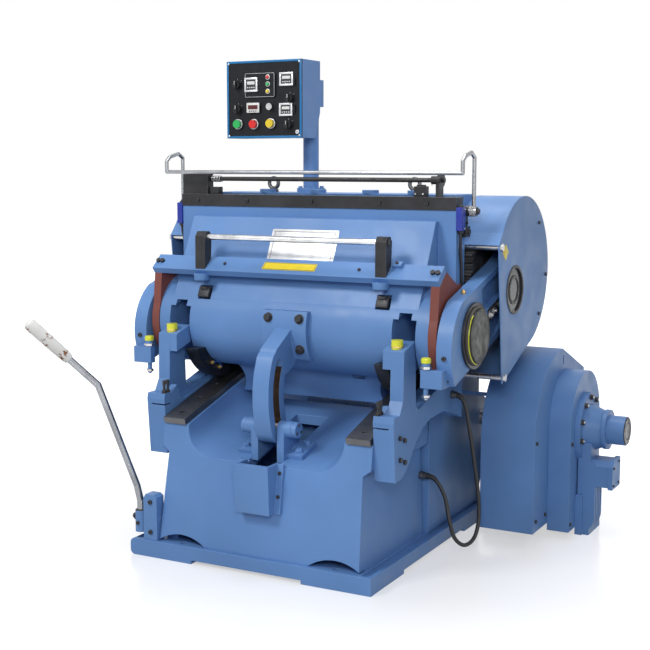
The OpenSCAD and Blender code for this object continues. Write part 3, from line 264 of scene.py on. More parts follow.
BLUE = (0.118, 0.248, 0.520)
M = {
    "enamel": enamel("enamel", BLUE),
    "sheet": enamel("sheet", (0.122, 0.254, 0.528), 0.44),
    "box_blue": enamel("box_blue", (0.012, 0.17, 0.42), 0.3),
    "steel": machined("steel", (0.56, 0.56, 0.57)),
    "turned": machined("turned", (0.60, 0.60, 0.61), 0.28, (60, 1, 1)),
    "chrome": machined("chrome", (0.70, 0.71, 0.73), 0.14, (60, 1, 1)),
    "dark_steel": machined("dark_steel", (0.16, 0.16, 0.165), 0.42),
    "gun_metal": machined("gun_metal", (0.085, 0.085, 0.09), 0.36),
    "iron": iron("iron", (0.10, 0.10, 0.105)),
    "cast": iron("cast", (0.020, 0.022, 0.028), 0.42),
    "black": black_paint("black"),
    "primer": enamel("primer", (0.20, 0.060, 0.048), 0.6),
    "yellow": plastic("yellow", (0.74, 0.76, 0.03), 0.22),
    "yellow_sign": plastic("yellow_sign", (0.80, 0.62, 0.015), 0.35),
    "rubber": rubber("rubber"),
    "panel_black": plastic("panel_black", (0.010, 0.011, 0.014), 0.35, gloss=0.2),
    "grey_line": plastic("grey_line", (0.42, 0.43, 0.45), 0.4),
    "bright_trim": machined("bright_trim", (0.66, 0.67, 0.69), 0.34),
    "meter_dark": plastic("meter_dark", (0.05, 0.055, 0.06), 0.12, gloss=0.25),
    "display_red": plastic("display_red", (0.10, 0.006, 0.006), 0.1),
    "lamp_red": plastic("lamp_red", (0.75, 0.03, 0.02), 0.12),
    "lamp_green": plastic("lamp_green", (0.02, 0.50, 0.14), 0.12),
    "lamp_yellow": plastic("lamp_yellow", (0.90, 0.66, 0.03), 0.12),
    "green": plastic("green", (0.02, 0.45, 0.10), 0.2),
    "red": plastic("red", (0.70, 0.02, 0.02), 0.2),
    "amber": plastic("amber", (0.85, 0.62, 0.03), 0.2),
    "knob": plastic("knob", (0.015, 0.015, 0.017), 0.4, gloss=0.3),
    "white": plastic("white", (0.78, 0.78, 0.76), 0.35),
    "brass": machined("brass", (0.72, 0.50, 0.20), 0.32),
    "felt": rubber("felt", (0.045, 0.040, 0.034)),
    "cap_grey": iron("cap_grey", (0.060, 0.064, 0.060), 0.5),
    "pipe_blue": plastic("pipe_blue", (0.03, 0.12, 0.45), 0.2),
    "worn_white": worn_white("worn_white"),
    "worn_steel": machined("worn_steel", (0.20, 0.135, 0.10), 0.36, (1, 60, 60)),
    "bar_steel": machined("bar_steel", (0.34, 0.35, 0.37), 0.24, (1, 40, 40)),
    "switch_blue": plastic("switch_blue", (0.010, 0.030, 0.33), 0.3),
}

FINISH = {
    "rails": "dark_steel", "rockers": "cast", "cam_pin": "turned",
    "gear_studs": "turned", "trunnions": "turned", "drive_shaft": "turned",
    "motor_pulley": "steel", "guard_tie_rods": "turned", "register_rod": "chrome",
    "safety_bar": "bar_steel", "link_shaft": "black", "cheek_screws": "black",
    "chase": "black", "lifting_eyes": "dark_steel", "trunnion_caps": "gun_metal",
    "platen_top_bar": "black", "rod_blocks": "black", "safety_holders": "black",
    "cable_glands": "dark_steel", "clutch_lever": "bar_steel", "bull_gear_left": "iron",
    "bull_gear_right": "iron", "countershaft": "iron", "flywheel": "iron",
    "cheek_oil_cups": "yellow", "end_brackets": "primer", "control_panel": "panel_black",
    "power_cable": "rubber", "drive_belts": "rubber", "lever_grip": "worn_white",
    "green_button": "green", "red_button": "red", "yellow_button": "amber",
    "speed_dial": "steel", "selector_1": "knob", "selector_2": "knob",
    "selector_3": "knob", "selector_4": "knob", "gear_guard_left": "sheet",
    "gear_guard_right": "sheet", "flywheel_guard": "sheet", "clutch_guard": "sheet",
    "control_box": "sheet", "control_post": "sheet",
}


def paint(obj, key):
    """Gives every slot of a solid one finish."""
    if not obj.data.materials:
        obj.data.materials.append(M[key])
    for slot in obj.material_slots:
        slot.material = M[key]


for node_name, node in NODES.items():
    paint(node, FINISH.get(node_name, "enamel"))

# ---- cable, from the lower gland to the upper one ------------------------------
CABLE_D = 0.016
LINE_STEPS = 8
ROUTE = [(.460, -.013, .311), (.500, -.015, .300), (.545, -.025, .240), (.575, -.045, .150),
         (.595, -.038, .080), (.620, .005, .042), (.640, .060, .060), (.645, .095, .130),
         (.640, .095, .240), (.625, .075, .400), (.614, .050, .520), (.606, .041, .585),
         (.588, .041, .626), (.566, .041, .640)]


def smooth_line(points, steps):
    """A Catmull-Rom line through the points."""
    line = []
    pts = [Vector(p) for p in points]
    last = len(pts) - 1
    for k in range(last * steps + 1):
        i = min(k // steps, last - 1)
        t = k / steps - i
        p0, p1, p2, p3 = (pts[max(0, min(last, j))] for j in (i - 1, i, i + 1, i + 2))
        line.append(p1 + t / 2 * (p2 - p0 + t * (2 * p0 - 5 * p1 + 4 * p2 - p3
                                                + t * (3 * p1 - p0 - 3 * p2 + p3))))
    return line


def tube_curve(name, line, radius, material):
    """A round curve object along a line in metres."""
    data = bpy.data.curves.new(name, "CURVE")
    data.dimensions = "3D"
    data.bevel_depth = radius
    data.bevel_resolution = 5
    data.use_fill_caps = True
    spline = data.splines.new("POLY")
    spline.points.add(len(line) - 1)
    for point, place in zip(spline.points, line):
        point.co = (*place, 1)
    data.materials.append(M[material])
    obj = bpy.data.objects.new(name, data)
    scene.collection.objects.link(obj)
    return obj


line = smooth_line(ROUTE, LINE_STEPS)
cable = tube_curve("cable", line, CABLE_D / 2, "rubber")
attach(cable, "frame")
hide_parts("power_cable")

# ---- small fittings ------------------------------------------------------------
def basis(axis, up=UP):
    """A turn that brings Z onto the axis and Y as near to up as it can."""
    z = Vector(axis).normalized()
    u = Vector(up)
    if abs(z.dot(u)) > 0.95:
        u = Vector((0, 1, 0)) if abs(z.y) < 0.9 else Vector(RIGHT)
    x = u.cross(z).normalized()
    return Matrix((x, z.cross(x), z)).transposed().to_4x4()


SMOOTH_ANGLE = math.radians(32)


class Fitting:
    """Turned, sawn and bent parts of one material that ride on one body."""

    def __init__(self, name, body, material):
        self.name, self.body, self.material = name, body, material
        self.bm = bmesh.new()

    @staticmethod
    def place(at, axis, up=UP):
        return Matrix.Translation(Vector(at) * MM) @ basis(axis, up)

    def lathe(self, at, axis, profile, segs=40, turn=0.0):
        """Turns (radius, height) points, in mm, about an axis. A point with a third
        value is six-sided, and its radius is half the width across the flats."""
        place = self.place(at, axis) @ Matrix.Rotation(turn, 4, "Z")
        rings = []
        for point in profile:
            r, h = point[0], point[1]
            ring = []
            if r == 0:
                ring.append(self.bm.verts.new(place @ Vector((0, 0, h * MM))))
            else:
                for i in range(segs):
                    a = 2 * math.pi * i / segs
                    rr = r
                    if len(point) > 2:
                        rr = r / math.cos((a + math.pi / 6) % (math.pi / 3) - math.pi / 6)
                    ring.append(self.bm.verts.new(
                        place @ Vector((rr * math.cos(a) * MM, rr * math.sin(a) * MM, h * MM))))
            rings.append(ring)
        for a, b in zip(rings, rings[1:]):
            for i in range(segs):
                j = (i + 1) % segs
                if len(a) == 1 and len(b) == 1:
                    continue
                if len(a) == 1:
                    self.bm.faces.new((a[0], b[i], b[j]))
                elif len(b) == 1:
                    self.bm.faces.new((a[i], b[0], a[j]))
                else:
                    self.bm.faces.new((a[i], b[i], b[j], a[j]))
        return self

    def prism(self, at, axis, outline, h, up=UP, bevel=0.0):
        """Extrudes an outline in mm along an axis; x is across, y is up."""
        place = self.place(at, axis, up)
        low = [self.bm.verts.new(place @ Vector((x * MM, y * MM, 0))) for x, y in outline]
        high = [self.bm.verts.new(place @ Vector((x * MM, y * MM, h * MM))) for x, y in outline]
        n = len(outline)
        faces = [self.bm.faces.new(high), self.bm.faces.new(low[::-1])]
        for i in range(n):
            j = (i + 1) % n
            faces.append(self.bm.faces.new((low[i], low[j], high[j], high[i])))
        if bevel:
            edges = dict.fromkeys(e for f in faces for e in f.edges)
            bmesh.ops.bevel(self.bm, geom=list(edges), offset=bevel * MM, segments=2,
                            profile=0.6, affect="EDGES", clamp_overlap=True)
        return self

    def plate(self, at, axis, w, d, h, up=UP, bevel=1.0, corner=0.0):
        """A bevelled plate w across and d up, h thick, with its corners rounded if asked."""
        if corner:
            line = []
            cx, cy = w / 2 - corner, d / 2 - corner
            for x, y, start in ((cx, cy, 0), (-cx, cy, 90), (-cx, -cy, 180), (cx, -cy, 270)):
                for k in range(6):
                    dx, dy = polar(corner, start + 18 * k)
                    line.append((x + dx, y + dy))
        else:
            line = [(w / 2, d / 2), (-w / 2, d / 2), (-w / 2, -d / 2), (w / 2, -d / 2)]
        return self.prism(at, axis, line, h, up, bevel)

    def hex_head(self, at, axis, flats, h, turn=0.3):
        """A hexagon head over its washer."""
        r, z = flats / 2, 1.6
        washer = [(0, 0), (r * 1.45, 0), (r * 1.45, 1.4), (r * 1.02, z)]
        return self.lathe(at, axis, washer + [(r, z, 1), (r, z + h * 0.82, 1), (r * 0.94, z + h),
                                              (0, z + h)], 36, turn=turn)

    def cap_screw(self, at, axis, r, h):
        """A socket-head screw with its six-sided socket."""
        s = r * 0.52
        return self.lathe(at, axis, [(r, 0), (r, h * 0.86), (r * 0.9, h), (s, h, 1),
                                     (s, h * 0.45, 1), (0, h * 0.45)], 36)

    def tube(self, points, r, segs=12, taper=None):
        """A bent rod along points in mm."""
        pts = [Vector(p) * MM for p in points]
        rings = []
        side = None
        for i, p in enumerate(pts):
            d = (pts[min(i + 1, len(pts) - 1)] - pts[max(i - 1, 0)]).normalized()
            if side is None:
                side = d.orthogonal().normalized()
            side = (side - d * side.dot(d)).normalized()
            other = d.cross(side)
            rr = (taper[i] if taper else r) * MM
            rings.append([self.bm.verts.new(p + rr * (math.cos(2 * math.pi * k / segs) * side
                                                      + math.sin(2 * math.pi * k / segs) * other))
                          for k in range(segs)])
        for a, b in zip(rings, rings[1:]):
            for k in range(segs):
                self.bm.faces.new((a[k], a[(k + 1) % segs], b[(k + 1) % segs], b[k]))
        self.bm.faces.new(rings[0][::-1])
        self.bm.faces.new(rings[-1])
        return self

    def spring(self, at, axis, r, wire, length, turns):
        """A coil spring of round wire."""
        place = Matrix.Translation(Vector(at)) @ basis(axis)
        n = int(turns * 20)
        line = []
        for i in range(n + 1):
            a = 2 * math.pi * turns * i / n
            line.append(place @ Vector((r * math.cos(a), r * math.sin(a), length * i / n)))
        return self.tube(line, wire, 8)

    def done(self):
        """Makes the object, smooth up to an angle, and rides it on its body."""
        bmesh.ops.recalc_face_normals(self.bm, faces=self.bm.faces)
        mesh = bpy.data.meshes.new(self.name)
        self.bm.to_mesh(mesh)
        self.bm.free()
        obj = bpy.data.objects.new(self.name, mesh)
        scene.collection.objects.link(obj)
        mesh.materials.append(M[self.material])
        for face in mesh.polygons:
            face.use_smooth = True
        mesh.set_sharp_from_angle(angle=SMOOTH_ANGLE)
        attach(obj, self.body)
        return obj


RAIL_COS, RAIL_SIN = math.cos(RAIL_TILT), math.sin(RAIL_TILT)


def rail_place(x, u, v):
    """A place given along and across the rails from the platen's axis, in mm."""
    return (x, AXIS_Y + u * RAIL_COS - v * RAIL_SIN, AXIS_Z + u * RAIL_SIN + v * RAIL_COS)


def rail_dir(u, v):
    """A direction given along and across the rails."""
    return (0, u * RAIL_COS - v * RAIL_SIN, u * RAIL_SIN + v * RAIL_COS)


# -- control panel, with a raised block around the first meter and the lamps
FACE_Y, BOX_Z = -36.0, 1655
BLOCK_LIFT = 8.9
LAMP_X, LAMPS = -248, (("lamp_red", 246), ("lamp_green", 218), ("lamp_yellow", 189))
BUTTONS = ((-394, 58), (-317, 57), (-237, 59))
SELECTORS = ((-399, 218), (-396, 118), (-148, 159), (-155, 52))
DIAL_X, DIAL_Z = -239, 127


def on_panel(px, pz, lift=0.0):
    """A place on the panel's face, pz up from the bottom of the box."""
    return (px, FACE_Y - lift, BOX_Z + pz)


frame_piece = Fitting("panel_frame", "frame", "box_blue")
for x0, x1, z0, z1 in ((-450, -94, 306, 315), (-450, -94, 0, 9),
                       (-450, -441, 9, 306), (-103, -94, 9, 306)):
    frame_piece.plate(on_panel((x0 + x1) / 2, (z0 + z1) / 2), FRONT,
                      x1 - x0, z1 - z0, 3.0, bevel=0.8)
frame_piece.done()

outline = Fitting("panel_outline", "frame", "grey_line")
for px, pz, w, d in ((-287, 262.5, 137, 2.2), (-287, 167.5, 137, 2.2),
                     (-356, 215, 2.2, 93), (-218, 215, 2.2, 93)):
    outline.plate(on_panel(px, pz, BLOCK_LIFT), FRONT, w, d, 0.7, bevel=0.2)
# plain tick rings round the knobs and the dial
for (kx, kz), r, n in zip((*SELECTORS, (DIAL_X, DIAL_Z)),
                          (24, 24, 23, 23, 24), (3, 3, 3, 3, 11)):
    for i in range(n):
        a = math.radians(210 - 240 * i / (n - 1)) if n > 3 else math.radians(135 - 45 * i)
        outline.plate(on_panel(kx + r * math.cos(a), kz + r * math.sin(a), -0.1), FRONT,
                      1.6, 5, 0.7, up=(math.cos(a), 0, math.sin(a)), bevel=0.15)
outline.done()

meters = Fitting("meter_frames", "frame", "bright_trim")
windows = Fitting("meter_windows", "frame", "meter_dark")
readouts = Fitting("meter_scales", "frame", "white")
for px, pz, w, d, lift in ((-162, 236, 64, 54, 0), (-165, 114, 62, 52, 0), (-324, 217, 62, 58, 9)):
    for dx, dz, ww, dd in ((0, d / 2 - 4, w, 8), (0, 4 - d / 2, w, 8),
                           (w / 2 - 4, 0, 8, d - 16), (4 - w / 2, 0, 8, d - 16)):
        meters.plate(on_panel(px + dx, pz + dz, lift), FRONT, ww, dd, 10, bevel=1.2)
    windows.plate(on_panel(px, pz, lift), FRONT, w - 15, d - 15, 8.2, bevel=0.6)
    readouts.plate(on_panel(px, pz + d * 0.12, lift + 8), FRONT, w - 26, d * 0.22, 0.9, bevel=0.3)
    for k in range(4):
        readouts.plate(on_panel(px - 15 + 10 * k, pz - d * 0.2, lift + 8), FRONT,
                       6, 5, 1.4, bevel=0.5)
meters.done(), windows.done(), readouts.done()

counter = Fitting("counter_case", "frame", "white")
counter.plate(on_panel(-319, 124, 6.8), FRONT, 60, 40, 5, bevel=1.4, corner=3)
counter.done()
digits = Fitting("counter_window", "frame", "display_red")
digits.plate(on_panel(-319, 126, 11.6), FRONT, 46, 17, 0.9, bevel=0.3)
digits.done()
keys = Fitting("counter_keys", "frame", "knob")
for k in range(4):
    keys.plate(on_panel(-334 + 10 * k, 110, 11.6), FRONT, 6, 4.5, 1.6, bevel=0.6)
keys.done()
for lamp, pz in LAMPS:
    piece = Fitting(lamp, "frame", lamp)
    piece.lathe(on_panel(LAMP_X, pz, 11), FRONT,
                [(7.6, 0), (7.4, 3), (6.2, 6), (3.6, 8), (0, 8.8)])
    piece.done()
bezels = Fitting("lamp_bezels", "frame", "bright_trim")
for _, pz in LAMPS:
    bezels.lathe(on_panel(LAMP_X, pz, BLOCK_LIFT), FRONT,
                 [(7.6, 0), (10.5, 0), (10.5, 2.2), (9.4, 3.2), (7.6, 3.2), (7.6, 0)])
for px, pz in BUTTONS:
    bezels.lathe(on_panel(px, pz, 5), FRONT,
                 [(18, 0), (21.5, 0), (21.5, 3), (20, 4.6), (18, 4.6), (18, 0)])
latch_at = on_panel(-114, 24)
bezels.lathe(latch_at, FRONT, [(0, 0), (9, 0), (9, 3), (8, 4.2), (0, 4.2)])
for px, pz in ((-440, 305), (-104, 305), (-440, 10), (-104, 10)):
    bezels.lathe(on_panel(px, pz, 2.8), FRONT, [(4.2, 0), (4.2, 1.2), (3.2, 2.2), (0, 2.2)], 24)
bezels.done()
# painted shade: a thin black plate on the latch's dome stands for the dark inside of its slot,
# which is not cut
latch_slot_shade = Fitting("latch_slot_painted_shade", "frame", "knob")
latch_slot_shade.plate((latch_at[0], latch_at[1] - 4.1, latch_at[2]), FRONT, 10, 2, 0.6, bevel=0.2)
latch_slot_shade.done()
for index, (px, pz) in enumerate(SELECTORS, 1):
    pointer = Fitting("pointer_%d" % index, "selector_%d" % index, "white")
    pointer.plate((px, FACE_Y - 26 + 0.2, BOX_Z + pz + 8), FRONT, 2.2, 14, 0.7, bevel=0.2)
    pointer.done()
dial_mark = Fitting("dial_mark", "speed_dial", "white")
dial_mark.plate((DIAL_X, FACE_Y - 18.3, BOX_Z + DIAL_Z + 8), FRONT, 2, 9, 0.7, bevel=0.2)
dial_mark.done()
knurl = Fitting("dial_knurl", "speed_dial", "knob")
for i in range(20):
    a = 2 * math.pi * i / 20
    knurl.lathe((DIAL_X + 13.6 * math.cos(a), FACE_Y - 3,
                 BOX_Z + DIAL_Z + 13.6 * math.sin(a)), FRONT,
                [(0, 0), (1.3, 0), (1.3, 12), (0.7, 13), (0, 13)], 8)
knurl.done()

# -- bare plates and the plain sign on the front of the platen
sign = Fitting("bare_plates", "platen", "bright_trim")
lean_cos, lean_sin = math.cos(FRONT_LEAN), math.sin(FRONT_LEAN)
panel_dir = Vector((0, lean_sin, lean_cos))
panel_out = (0, -lean_cos, lean_sin)
panel_foot = Vector((0, AXIS_Y - FRONT_FOOT * lean_cos, AXIS_Z + FRONT_FOOT * lean_sin))


def on_front(x, s, lift=0.0):
    """A place on the platen's leaning front panel, s mm up from its foot."""
    return tuple(panel_foot + panel_dir * s + Vector(panel_out) * lift + Vector((x, 0, 0)))


sign.plate(on_front(0, 264), panel_out, 300, 140, 1.6, up=panel_dir, bevel=0.5, corner=6)
sign.done()
rivets = Fitting("plate_rivets", "platen", "steel")
for x in (-142, 142):
    for s in (202, 326):
        rivets.lathe(on_front(x, s, 1.6), panel_out, [(3.6, 0), (3.4, 1), (2, 2), (0, 2.3)], 20)
rivets.done()
border = Fitting("plate_borders", "platen", "black")
for x, s, w, d in ((0, 324, 272, 1.8), (0, 204, 272, 1.8),
                   (-136, 264, 1.8, 122), (136, 264, 1.8, 122)):
    border.plate(on_front(x, s, 1.55), panel_out, w, d, 0.5, up=panel_dir, bevel=0.1)
border.done()

# the crossbar's front face leans back
BAR_SIN, BAR_COS = 0.642, 0.767
bar_dir, bar_out = (0, BAR_COS, BAR_SIN), (0, -BAR_SIN, BAR_COS)
tag = Fitting("bare_yellow_plate", "platen", "yellow_sign")
tag.plate((-3, BAR_Y - BAR_SIN * 0.2, BAR_Z + BAR_COS * 0.2), bar_out, 236, 40, 1.4,
          up=bar_dir, bevel=0.4, corner=5)
tag.done()
tag_edge = Fitting("yellow_plate_border", "platen", "black")
for dx, dv, w, d in ((0, 17, 226, 1.6), (0, -17, 226, 1.6), (-113, 0, 1.6, 34), (113, 0, 1.6, 34)):
    tag_edge.plate((-3 + dx, -303 - BAR_SIN * 0.05 + BAR_COS * dv + 0.58,
                    BAR_Z + BAR_COS * 1.56 + BAR_SIN * dv), bar_out, w, d, 0.5,
                   up=bar_dir, bevel=0.1)
tag_edge.done()
stop = Fitting("register_stop", "platen", "enamel")
stop.plate((452, -280, 1170.5), bar_out, 40, 22, 16, up=bar_dir, bevel=2)
stop.done()
stop_screw = Fitting("register_stop_screw", "platen", "black")
stop_screw.cap_screw((452, -280 - BAR_SIN * 16, 1170.5 + BAR_COS * 16), bar_out, 6, 6)
for x in (-300, 300):
    stop_screw.cap_screw((x, BAR_Y, BAR_Z), bar_out, 6.5, 5)
stop_screw.done()
clips = Fitting("rod_lock_screws", "platen", "black")
for s in (-1, 1):
    clips.cap_screw((s * 402, -312.5, 1270), (0, -0.8, 0.6), 6.5, 7)
    clips.lathe((s * 425, -301, 1259), (s, 0, 0),
                [(0, 0), (15, 0), (15, 2.5), (12.4, 3.4), (12.4, 5), (0, 5)], 32)
clips.done()

# -- guide arm: foot bolts, pin ends
arm_bolts = Fitting("arm_foot_bolts", "platen", "black")
for x in (-69, 69):
    for deg in (13, -20):
        dy, dz = polar(208.8, deg)
        c, d = polar(1, deg)
        arm_bolts.hex_head((x, AXIS_Y - dy, AXIS_Z + dz), (0, -c, d), 27, 15, turn=deg * 0.07)
arm_bolts.done()
pin_ends = Fitting("cam_pin_rings", "frame", "black")
for s in (-1, 1):
    pin_ends.lathe((s * 100, CAM_Y, CAM_Z), (s, 0, 0),
                   [(15.2, 0.2), (23, 0.2), (23, 5), (21, 6.4), (15.2, 6.4), (15.2, 0.2)])
    pin_ends.lathe((s * 118, CAM_Y, CAM_Z), (s, 0, 0),
                   [(0, 0), (13.6, 0), (12.4, 1.6), (4, 1.6), (3, 0.6), (0, 0.6)])
pin_ends.done()
well_screws = Fitting("well_screws", "frame", "black")
for s in (-1, 1):
    for f in (0.35, 0.82):
        well_screws.cap_screw((s * 88, -563.1 + f * 29.1, 240 + f * 188), (0, -0.988, 0.153), 7, 6)
well_screws.done()

# -- connecting rods: cap faces, nipples, screws, oilers
for side, s in SIDES:
    rod = "conrod_" + side
    cap = Fitting("cap_face_" + side, "carriage", "cap_grey")
    cap.lathe((s * 730.8, AXIS_Y, AXIS_Z), (s, 0, 0),
              [(0, 0), (97, 0), (99, 0.8), (99, 2.2), (97, 3.2), (60, 3.2), (57, 2.4),
               (0, 2.4)], 72)
    cap.done()
    ring = Fitting("felt_ring_" + side, "carriage", "felt")
    ring.lathe((s * 715.7, AXIS_Y, AXIS_Z), (s, 0, 0),
               [(103, 0), (103, 8.6), (105, 10.4), (109, 10.6), (112, 9), (113, 5), (112, 0.2),
                (103, 0)], 72)
    ring.done()
    studs = Fitting("rod_screws_" + side, rod, "black")
    for a in (168, 192):
        du, dv = polar(NOSE_R, a)
        studs.cap_screw(rail_place(s * ROD_MID_X, NOSE_U + du, NOSE_V + dv),
                        rail_dir(*polar(1, a)), 9, 8)
    studs.lathe(rail_place(s * ROD_FACE_X, PIN_U, PIN_V), (s, 0, 0),
                [(0, 0), (15, 0), (15, 1.6), (13, 2.4), (0, 2.4)], 36)
    for a in (30, 150, 270):
        du, dv = polar(42, a)
        studs.cap_screw(rail_place(s * ROD_FACE_X, PIN_U + du, PIN_V + dv), (s, 0, 0), 7, 6)
    studs.done()
    nip = Fitting("grease_nipple_" + side, rod, "brass")
    nip.lathe(rail_place(s * ROD_MID_X, 12, 164.8), rail_dir(0, 1),
              [(0, 0), (8, 0, 1), (8, 7, 1), (7.4, 8), (4.6, 8.4), (4.6, 12), (3, 15.5),
               (0, 16)], 36)
    nip.lathe(rail_place(s * ROD_MID_X, PIN_U - 6, PIN_V + 89.6), rail_dir(0, 1),
              [(0, 0), (7, 0, 1), (7, 5, 1), (4, 6), (4, 10), (2.6, 13), (0, 13.4)], 36)
    nip.done()
    oiler = Fitting("oiler_cap_" + side, rod, "yellow")
    oiler.lathe((s * 615, OILER_Y, 833), UP,
                [(16.2, 0), (18.4, 0.6), (18.6, 2), (18.6, 15), (17, 18.6), (12, 20.2),
                 (0, 20.4)], 40)
    oiler.done()
    barrel = Fitting("oiler_rings_" + side, rod, "steel")
    barrel.lathe((s * 615, OILER_Y, 812), UP,
                 [(16.1, 0), (19, 0, 1), (19, 9, 1), (17.4, 10.4), (16.1, 10.4)], 36)
    barrel.lathe((s * 615, OILER_Y, 706), UP,
                 [(9.1, 0), (13, 0, 1), (13, 9, 1), (11.6, 10.4), (9.1, 10.4)], 36)
    barrel.lathe((s * 615, OILER_Y, 697), UP,
                 [(0, 0), (5, 0), (6.6, 1.5), (6.6, 4.2), (0, 4.2)], 24)
    barrel.done()

# -- collars of the oil cups on the lugs
for side, s in SIDES:
    collar = Fitting("cup_collar_" + side, "frame", "brass")
    collar.lathe((s * 500, -388, 884.6), UP,
                 [(22.1, -1), (24, -1), (24, 3), (22.1, 3.6), (22.1, -1)], 48)
    collar.done()

# -- rocker fittings and their thin oil pipe
for side, s in SIDES:
    elbows = Fitting("rocker_elbows_" + side, "platen", "brass")
    for y, z in ((-262, 742), (-205, 716)):
        elbows.lathe((s * 394.8, y, z), (-s, 0, 0),
                     [(0, 0), (9, 0, 1), (9, 6, 1), (6, 7), (6, 12), (0, 12.6)], 36)
    elbows.done()
    pipe = Fitting("rocker_oil_pipe_" + side, "platen", "pipe_blue")
    pts = smooth_line([(s * 384, -262, 742), (s * 379, -245, 744), (s * 378, -225, 734),
                       (s * 379, -212, 722), (s * 384, -205, 716)], 6)
    pipe.tube([tuple(p) for p in pts], 2.2, 10)
    pipe.done()

# -- guards
rims = Fitting("window_rims", "frame", "black")
for s in (-1, 1):
    rims.lathe((s * GEAR_GUARD_X, WINDOW_Y, WINDOW_Z), (s, 0, 0),
               [(86, -3.6), (86, 1.6), (88, 3.6), (95, 3.6), (97.5, 1.6), (97.5, 0), (90.2, 0),
                (90.2, -3.6), (86, -3.6)], 80)
rims.done()
diamond = Fitting("bare_yellow_sign", "frame", "yellow_sign")
diamond.plate((GEAR_GUARD_X, 46, 1212), RIGHT, 46, 46, 1.2,
              up=(0, 0.707, 0.707), bevel=0.4, corner=4)
diamond.done()
screws = Fitting("guard_screws", "frame", "black")
for y, z in ((245, 105), (365, 105), (868, 110), (868, 500), (240, 430)):
    screws.cap_screw((FLYWHEEL_GUARD_X, y, z), RIGHT, 8, 6)
for y, z in ((420, 60), (800, 60), (420, 400), (800, 330)):
    screws.cap_screw((CLUTCH_GUARD_X, y, z), RIGHT, 7.5, 6)
for s in (-1, 1):
    for y, z in ((462, 932), (540, 1090), (440, 1310)):
        screws.cap_screw((s * GEAR_GUARD_X, y, z), (s, 0, 0), 7.5, 6)
screws.done()
flange = Fitting("flange_bolts", "frame", "black")
tips = Fitting("flange_bolt_tips", "frame", "steel")
for deg in range(-15, 196, 35):
    dy, dz = polar(131, deg)
    flange.hex_head((946.9, DRIVE_Y + dy, DRIVE_Z + dz), RIGHT, 19, 11, turn=math.radians(deg))
    tips.lathe((959.3, DRIVE_Y + dy, DRIVE_Z + dz), RIGHT,
               [(0, 0), (5.4, 0), (5, 3), (0, 3.6)], 20)
flange.done(), tips.done()
ring = Fitting("shaft_end_ring", "frame", "black")
ring.lathe((1104.8, DRIVE_Y, DRIVE_Z), RIGHT,
           [(36, 0), (57, 0), (58, 0.8), (58, 2.6), (56, 4), (40, 4), (36, 2.4), (36, 0)], 64)
ring.done()
stub = Fitting("shaft_end_centre", "drive_shaft", "dark_steel")
stub.lathe((1104.9, DRIVE_Y, DRIVE_Z), RIGHT,
           [(0, 0), (33.5, 0), (34, 0.6), (32, 3), (9, 3), (5, 0.8), (0, 0.8)], 64)
stub.done()
terminal = Fitting("terminal_cover_screws", "frame", "black")
for y, z in ((510, 222), (590, 222), (590, 312), (510, 296)):
    terminal.cap_screw((1077.9, y, z), RIGHT, 5.5, 5)
terminal.done()

# -- safety bar and the cross shaft
pivots = Fitting("safety_pivots", "safety_bar", "black")
springs = Fitting("safety_springs", "safety_bar", "steel")
for s in (-1, 1):
    pivots.hex_head((s * 676.8, SAFETY_Y, SAFETY_Z), (s, 0, 0), 20, 8)
    springs.spring((s * 650, SAFETY_Y, SAFETY_Z), (s, 0, 0), 19.8, 1.5, 22, 5)
pivots.done(), springs.done()
holder_screws = Fitting("holder_screws", "platen", "black")
for s in (-1, 1):
    for y, z in ((-78, 1326), (-42, 1326)):
        holder_screws.cap_screw((s * 627.9, y, z), (s, 0, 0), 5.5, 5)
    holder_screws.hex_head((s * 641.9, SAFETY_Y, 1294), (s, 0, 0), 17, 7)
for x in (-540, -300, 0, 300, 500):
    holder_screws.cap_screw((x, -129.9, 1400), FRONT, 8, 6)
holder_screws.done()
switch = Fitting("limit_switch", "platen", "black")
switch.plate((462, SWITCH_Y, 1424.8), UP, 46, 40, 40, up=(0, 1, 0), bevel=2)
switch.plate((462, SWITCH_Y, 1464.6), UP, 30, 24, 6, up=(0, 1, 0), bevel=1.5)
switch.plate((-470, SWITCH_Y, 1424.8), UP, 40, 36, 30, up=(0, 1, 0), bevel=2)
switch.done()
switch_metal = Fitting("switch_fittings", "platen", "steel")
switch_metal.spring((-498, -82, 1488), RIGHT, 12.6, 1.5, 46, 6)
for x in (446, 478):
    switch_metal.cap_screw((x, -115.2, 1436), FRONT, 3.4, 3)
switch_metal.lathe((500, -82, 1476), (0, 0, -1), [(0, 0.5), (2, 0.5), (2, 9), (0, 9)], 12)
switch_metal.done()
wing = Fitting("wing_nuts", "platen", "steel")
for x in (-606, -516):
    wing.lathe((x, SWITCH_Y, 1507.8), UP, [(0, 0), (9, 0), (7.6, 7), (4.4, 10), (0, 10.6)], 28)
    for k in (-1, 1):
        wing.plate((x + k * 10, SWITCH_Y, 1511), (k * 0.6, 0, 0.8), 3, 10, 13,
                   up=(0, 1, 0), bevel=1.2)
wing.done()

# -- cable: tapered strain reliefs at both glands
RELIEF_LENGTH, RELIEF_R, RELIEF_TAPER = 0.05, 12.4, 3.6
for label, pts in (("low", line[:9]), ("high", line[-9:][::-1])):
    relief = Fitting("strain_relief_" + label, "frame", "rubber")
    run, radii, chosen = 0.0, [], []
    for i, p in enumerate(pts):
        run += (p - pts[i - 1]).length if i else 0
        if run > RELIEF_LENGTH:
            break
        radii.append(RELIEF_R - RELIEF_TAPER * run / RELIEF_LENGTH)
        chosen.append(tuple(p / MM))
    relief.tube(chosen, 0, 24, taper=radii)
    relief.done()

